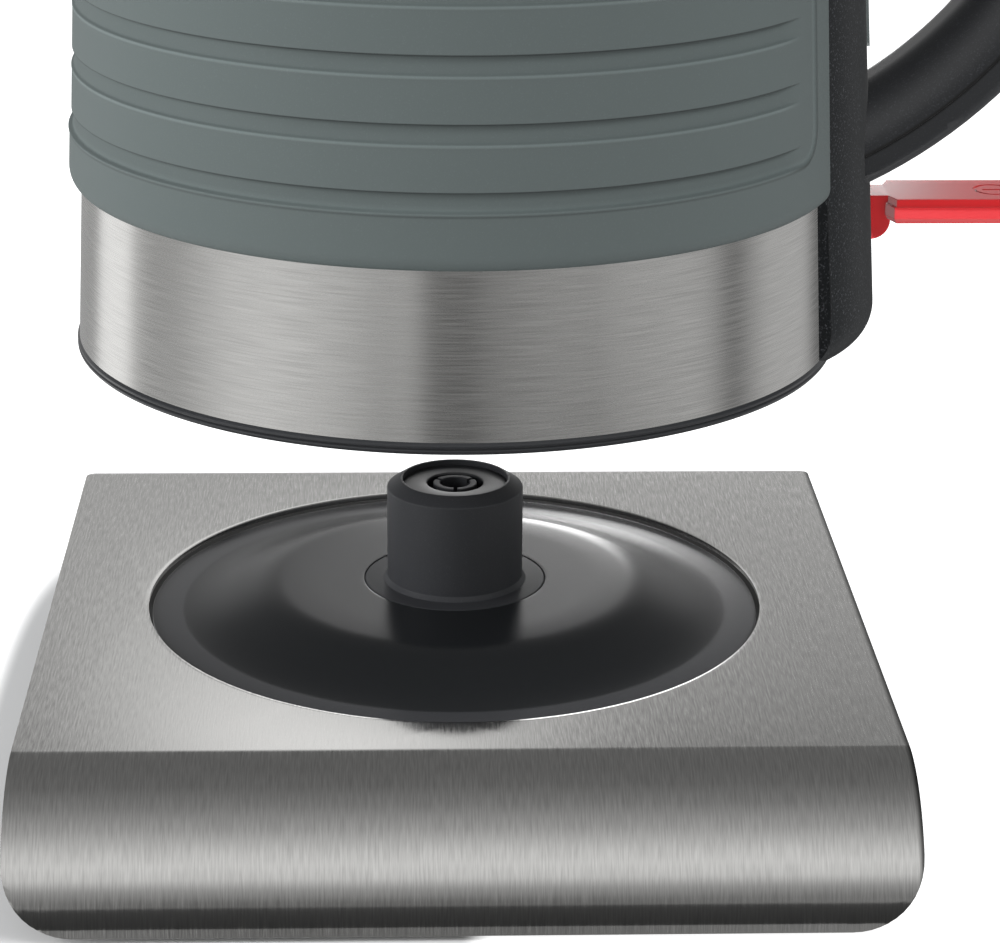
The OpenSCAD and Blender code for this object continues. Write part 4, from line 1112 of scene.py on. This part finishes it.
def lever_hub():
    """A short round-ended bar across the pin, with softened ends."""
    sections = []
    for inset, y in ((0.35, -4.3), (0.1, -4.2), (0, -3.95), (0, 3.95), (0.1, 4.2), (0.35, 4.3)):
        right_end = arc(hub_half - inset, pi / 2, 16, shoulder_x)
        left_end = [(2 * shoulder_x - hub_back - x, -z) for x, z in right_end]
        sections.append([(x, y, z + jug_z + pivot_z) for x, z in right_end + left_end])
    return clean(skin("hub", sections))


def lever():
    """Paddle, neck, hub and tail joined, then the pin's bore and the sign cut in."""
    top, low = lever_top, lever_top - lever_t
    rings = [(0.55, low), (0.45, low + 0.1), (0.05, low + 0.95), (0.0, low + 1.1), (0.0, top - 1.6),
        (0.06, top - 1.5), (0.38, top - 1.45), (0.42, top - 1.4), (0.42, top - 0.2), (0.48, top - 0.06),
        (0.62, top)]
    made = clean(skin("lever", [at_height(paddle_outline(inset), z) for inset, z in rings]))
    neck = brick("neck", (-0.6, -4.2, -0.5), (3.5, 4.2, top - 0.06 - pivot_z))
    tail = brick("tail", (lever_low.x - shoulder_x, -3, -1.2), (-hub_back, 3, 1.2))
    pivot = (shoulder_x, 0, jug_z + pivot_z)
    for other in (move(neck, pivot), lever_hub(), move(tail, pivot)):
        cut(made, other, "UNION")
    bore = spin("bore", [(0.001, -9), (1.3, -9), (1.3, 9), (0.001, 9)], 24, False)
    pin = (shoulder_x - hub_back, 0, jug_z + pivot_z)
    cut(made, move(bore, pin, Matrix.Rotation(pi / 2, 4, "X")))
    ring = spin("ring", [(sign_r - 0.65, 0), (sign_r, 0), (sign_r, 1), (sign_r - 0.65, 1)], 64)
    bar = brick("bar", (-2.1, -0.35, 0), (2.1, 0.35, 1))
    for mark in (ring, bar):
        cut(made, move(mark, (paddle_end - 18.1, 0, jug_z + top - sign_depth)))
    return even_light(clean(made, merge=0.001, smooth_angle=32))


finish(lever(), "lever", ["switch_lever"], lever_red)

# %% [markdown]
# ## The other outside pieces
# These are softened copies of their nodes, so that light catches on their edges.

# %% Handle, top and button
for node, width, body, slot, material in (
        ("handle_grip", 0.35, "jug", "textured_black", "grip_black"),
        ("handle_strip", 0.3, "jug", "smooth_black", "strip_black"),
        ("top_collar", 0.4, "jug", "satin_black", "satin_black"),
        ("spout", 0.4, "jug", "smooth_black", "smooth_black"),
        ("lid_cap", 0.4, "lid", "satin_black", "satin_black"),
        ("latch_housing", 0.6, "jug", "textured_black", "grained_black"),
        ("lid_button", 0.8, "button", "satin_black", "satin_black")):
    finish(softened(node, width), body, [node], plastic[material])

disc = softened("lid_disc", 0.2)
brush_map(disc, lambda x, y, z, centre: (hypot(x, y), atan2(y, x) * 30))
finish(disc, "lid", ["lid_disc"], vessel_steel)

# %% [markdown]
# ## Repeated pieces made by Geometry Nodes
# Screws, gauge marks and the filter's wires repeat, so each is a small tree of geometry nodes with
# named sizes. A tree ends in Realize Instances and Set Material, and its result is kept as a plain
# mesh before the piece joins its body.

# %% Tree helpers
def geometry_tree(name, sizes):
    """A geometry tree with named float inputs; returns the tree and its inputs."""
    tree = bpy.data.node_groups.new(name, "GeometryNodeTree")
    for way in ("INPUT", "OUTPUT"):
        tree.interface.new_socket(name="Geometry", in_out=way, socket_type="NodeSocketGeometry")
    for title, value in sizes.items():
        socket = tree.interface.new_socket(name=title, in_out="INPUT", socket_type="NodeSocketFloat")
        socket.default_value = value
    return tree, add(tree, "NodeGroupInput").outputs


def cylinder(tree, vertices, radius, depth):
    return add(tree, "GeometryNodeMeshCylinder", {"Vertices": vertices, "Radius": radius,
        "Depth": depth}).outputs["Mesh"]


def cube(tree, *size):
    return add(tree, "GeometryNodeMeshCube", {"Size": combine(tree, *size)}).outputs[0]


def placed(tree, geometry, z, turn=0.0):
    """Geometry moved up by z and turned round the upright axis."""
    return add(tree, "GeometryNodeTransform", {0: geometry, "Translation": combine(tree, 0, 0, z),
        "Rotation": (0, 0, turn)}).outputs[0]


def on_points(tree, points, thing):
    return add(tree, "GeometryNodeInstanceOnPoints", {"Points": points, "Instance": thing}).outputs[0]


def end_tree(tree, points, thing, material):
    """Sets a thing on the points, makes it real and gives it its material."""
    real = add(tree, "GeometryNodeRealizeInstances", {0: on_points(tree, points, thing)}).outputs[0]
    paint = add(tree, "GeometryNodeSetMaterial", {"Geometry": real, "Material": material}).outputs[0]
    add(tree, "NodeGroupOutput", {0: paint})
    return tree


def grow(name, tree, sizes, points):
    """Runs a tree on a few points with the given sizes, in millimetres, and keeps the mesh."""
    made = as_object(name, points, [])
    modifier = change(made, "NODES", node_group=tree)
    for item in tree.interface.items_tree:
        if item.item_type == "SOCKET" and item.in_out == "INPUT" and item.name in sizes:
            modifier[item.identifier] = sizes[item.name] * MM
    keep(made)
    return clean(made, merge=0.0005)


print("tree helpers ready")

# %% [markdown]
# ## The base's screws
# Four screws hold the bottom cover. Each has a flat head with a cross recess over a plain shank. The
# recess is cut with a Mesh Boolean from two crossed boxes, and the finished screw is placed on the
# four corner points.

# %% Screws
def screw_tree():
    tree, size = geometry_tree("screws", {"Head radius": 0.003, "Head height": 0.0013,
        "Shank radius": 0.0014, "Shank length": 0.007, "Recess": 0.0022})
    head = cylinder(tree, 32, size["Head radius"], size["Head height"])
    cross = add(tree, "GeometryNodeMeshBoolean", {"Mesh 1": head}, operation="DIFFERENCE")
    length, width = (calc(tree, "MULTIPLY", size["Recess"], part) for part in (1.6, 0.3))
    down = calc(tree, "MULTIPLY", size["Head height"], -0.5)
    for turn in (0, pi / 2):
        slot = placed(tree, cube(tree, length, width, size["Head height"]), down, turn)
        feed(tree, slot, cross.inputs["Mesh 2"])
    shank = cylinder(tree, 20, size["Shank radius"], size["Shank length"])
    raised = placed(tree, shank, calc(tree, "MULTIPLY", size["Shank length"], 0.5))
    screw = add(tree, "GeometryNodeJoinGeometry")
    for part in (raised, cross.outputs[0]):
        feed(tree, part, screw.inputs[0])
    return end_tree(tree, size["Geometry"], screw.outputs[0], bright_steel)


screws_low, screws_high = span("base_screws")
screw_x, screw_y = 52.0, (-50.0, 56.0)
head_h = 1.3
screws = grow("screws", screw_tree(), {"Head radius": screws_high.x - screw_x, "Head height": head_h,
    "Shank radius": 1.4, "Shank length": screws_high.z - screws_low.z - head_h / 2, "Recess": 2.2},
    [(x, y, screws_low.z + head_h / 2) for x in (-screw_x, screw_x) for y in screw_y])
finish(screws, "base", ["base_screws"], bright_steel)

# %% [markdown]
# ## The water gauge's marks
# Fine raised lines beside the window show how full the jug is. A mesh line carries them up the
# leaning column, and every line is one thin bar.

# %% Gauge marks
def mark_tree():
    tree, size = geometry_tree("marks", {"Step": 0.02, "Lean": 0.0014, "Width": 0.004, "Height": 0.0006,
        "Relief": 0.0003})
    offset = combine(tree, calc(tree, "MULTIPLY", size["Lean"], -1), 0, size["Step"])
    line = add(tree, "GeometryNodeMeshLine", {"Count": 5, "Offset": offset}, mode="OFFSET").outputs[0]
    bars = on_points(tree, line, cube(tree, size["Relief"], size["Width"], size["Height"]))
    return end_tree(tree, size["Geometry"], bars, plastic["pale_plastic"])


mark_z, mark_step, mark_side = 75.0, 18.0, 6.2
mark_x = face_x(mark_z) - (column_round - sqrt(column_round ** 2 - mark_side ** 2)) + 0.02
marks = grow("gauge_marks", mark_tree(), {"Step": mark_step, "Lean": mark_step * tan(lean),
    "Width": 3.6, "Height": 0.6, "Relief": 0.7}, at_height([(mark_x, -mark_side), (mark_x, mark_side)], mark_z))
finish(marks, "jug", [], plastic["pale_plastic"])

# %% [markdown]
# ## The spout's filter
# A woven wire cloth closes the spout's window. A flat grid is bent to the vessel's round wall, its
# edges become curves, and a thin round wire is swept along every one.

# %% Filter cloth
def cloth_tree():
    tree, size = geometry_tree("cloth", {"Across": 0.02, "Up": 0.016, "Wall radius": 0.06, "Wire": 0.0002})
    grid = add(tree, "GeometryNodeMeshGrid", {"Vertices X": 17, "Vertices Y": 13, "Size X": size["Across"],
        "Size Y": size["Up"]}).outputs["Mesh"]
    across, up, _ = split(tree, add(tree, "GeometryNodeInputPosition").outputs[0])
    radius = size["Wall radius"]
    squares = (calc(tree, "POWER", value, 2) for value in (radius, across))
    reach = calc(tree, "SQRT", calc(tree, "SUBTRACT", *squares))
    bent = combine(tree, calc(tree, "SUBTRACT", radius, reach), across, up)
    bend = add(tree, "GeometryNodeSetPosition", {"Geometry": grid, "Position": bent}).outputs[0]
    paths = add(tree, "GeometryNodeMeshToCurve", {0: bend}).outputs[0]
    ring = add(tree, "GeometryNodeCurvePrimitiveCircle", {"Resolution": 6, "Radius": size["Wire"]},
        mode="RADIUS").outputs[0]
    wires = add(tree, "GeometryNodeCurveToMesh", {"Curve": paths, "Profile Curve": ring,
        "Fill Caps": True}).outputs[0]
    return end_tree(tree, size["Geometry"], wires, bright_steel)


mesh_low, mesh_high = span("filter_mesh")
margin = 0.3
cloth = grow("filter_cloth", cloth_tree(), {"Across": mesh_high.y - mesh_low.y - margin,
    "Up": mesh_high.z - mesh_low.z - margin, "Wall radius": -mesh_low.x - margin, "Wire": 0.2},
    [(mesh_low.x + margin, 0, (mesh_low.z + mesh_high.z) / 2)])
finish(cloth, "filter", ["filter_mesh"], bright_steel)

# %% [markdown]
# ## Pieces that keep the frame's own mesh
# The rest is inside or under the kettle. Each keeps its mesh and gets the material of its slot.

# %% Materials of the inner pieces
BY_SLOT = {"black_housing": plastic["plain_black"], "silicone": plastic["seal_silicone"],
    "plain_steel": bright_steel, "element_metal": element_metal, "aluminium": cast_aluminium, "brass": brass,
    "clear_window": window_clear, "lamp_glass": lamp_glass, **plastic}
kept = [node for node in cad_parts.values() if not node.hide_render]
for node in kept:
    slot = node.data.materials[0].name
    node.visible_glossy = False
    node.data.materials.clear()
    node.data.materials.append(BY_SLOT[slot])
print("nodes that keep their mesh:", len(kept))

# %% [markdown]
# ## Finish
# The view transform is set to Standard.

# %% Finish
scene.view_settings.view_transform = "Standard"
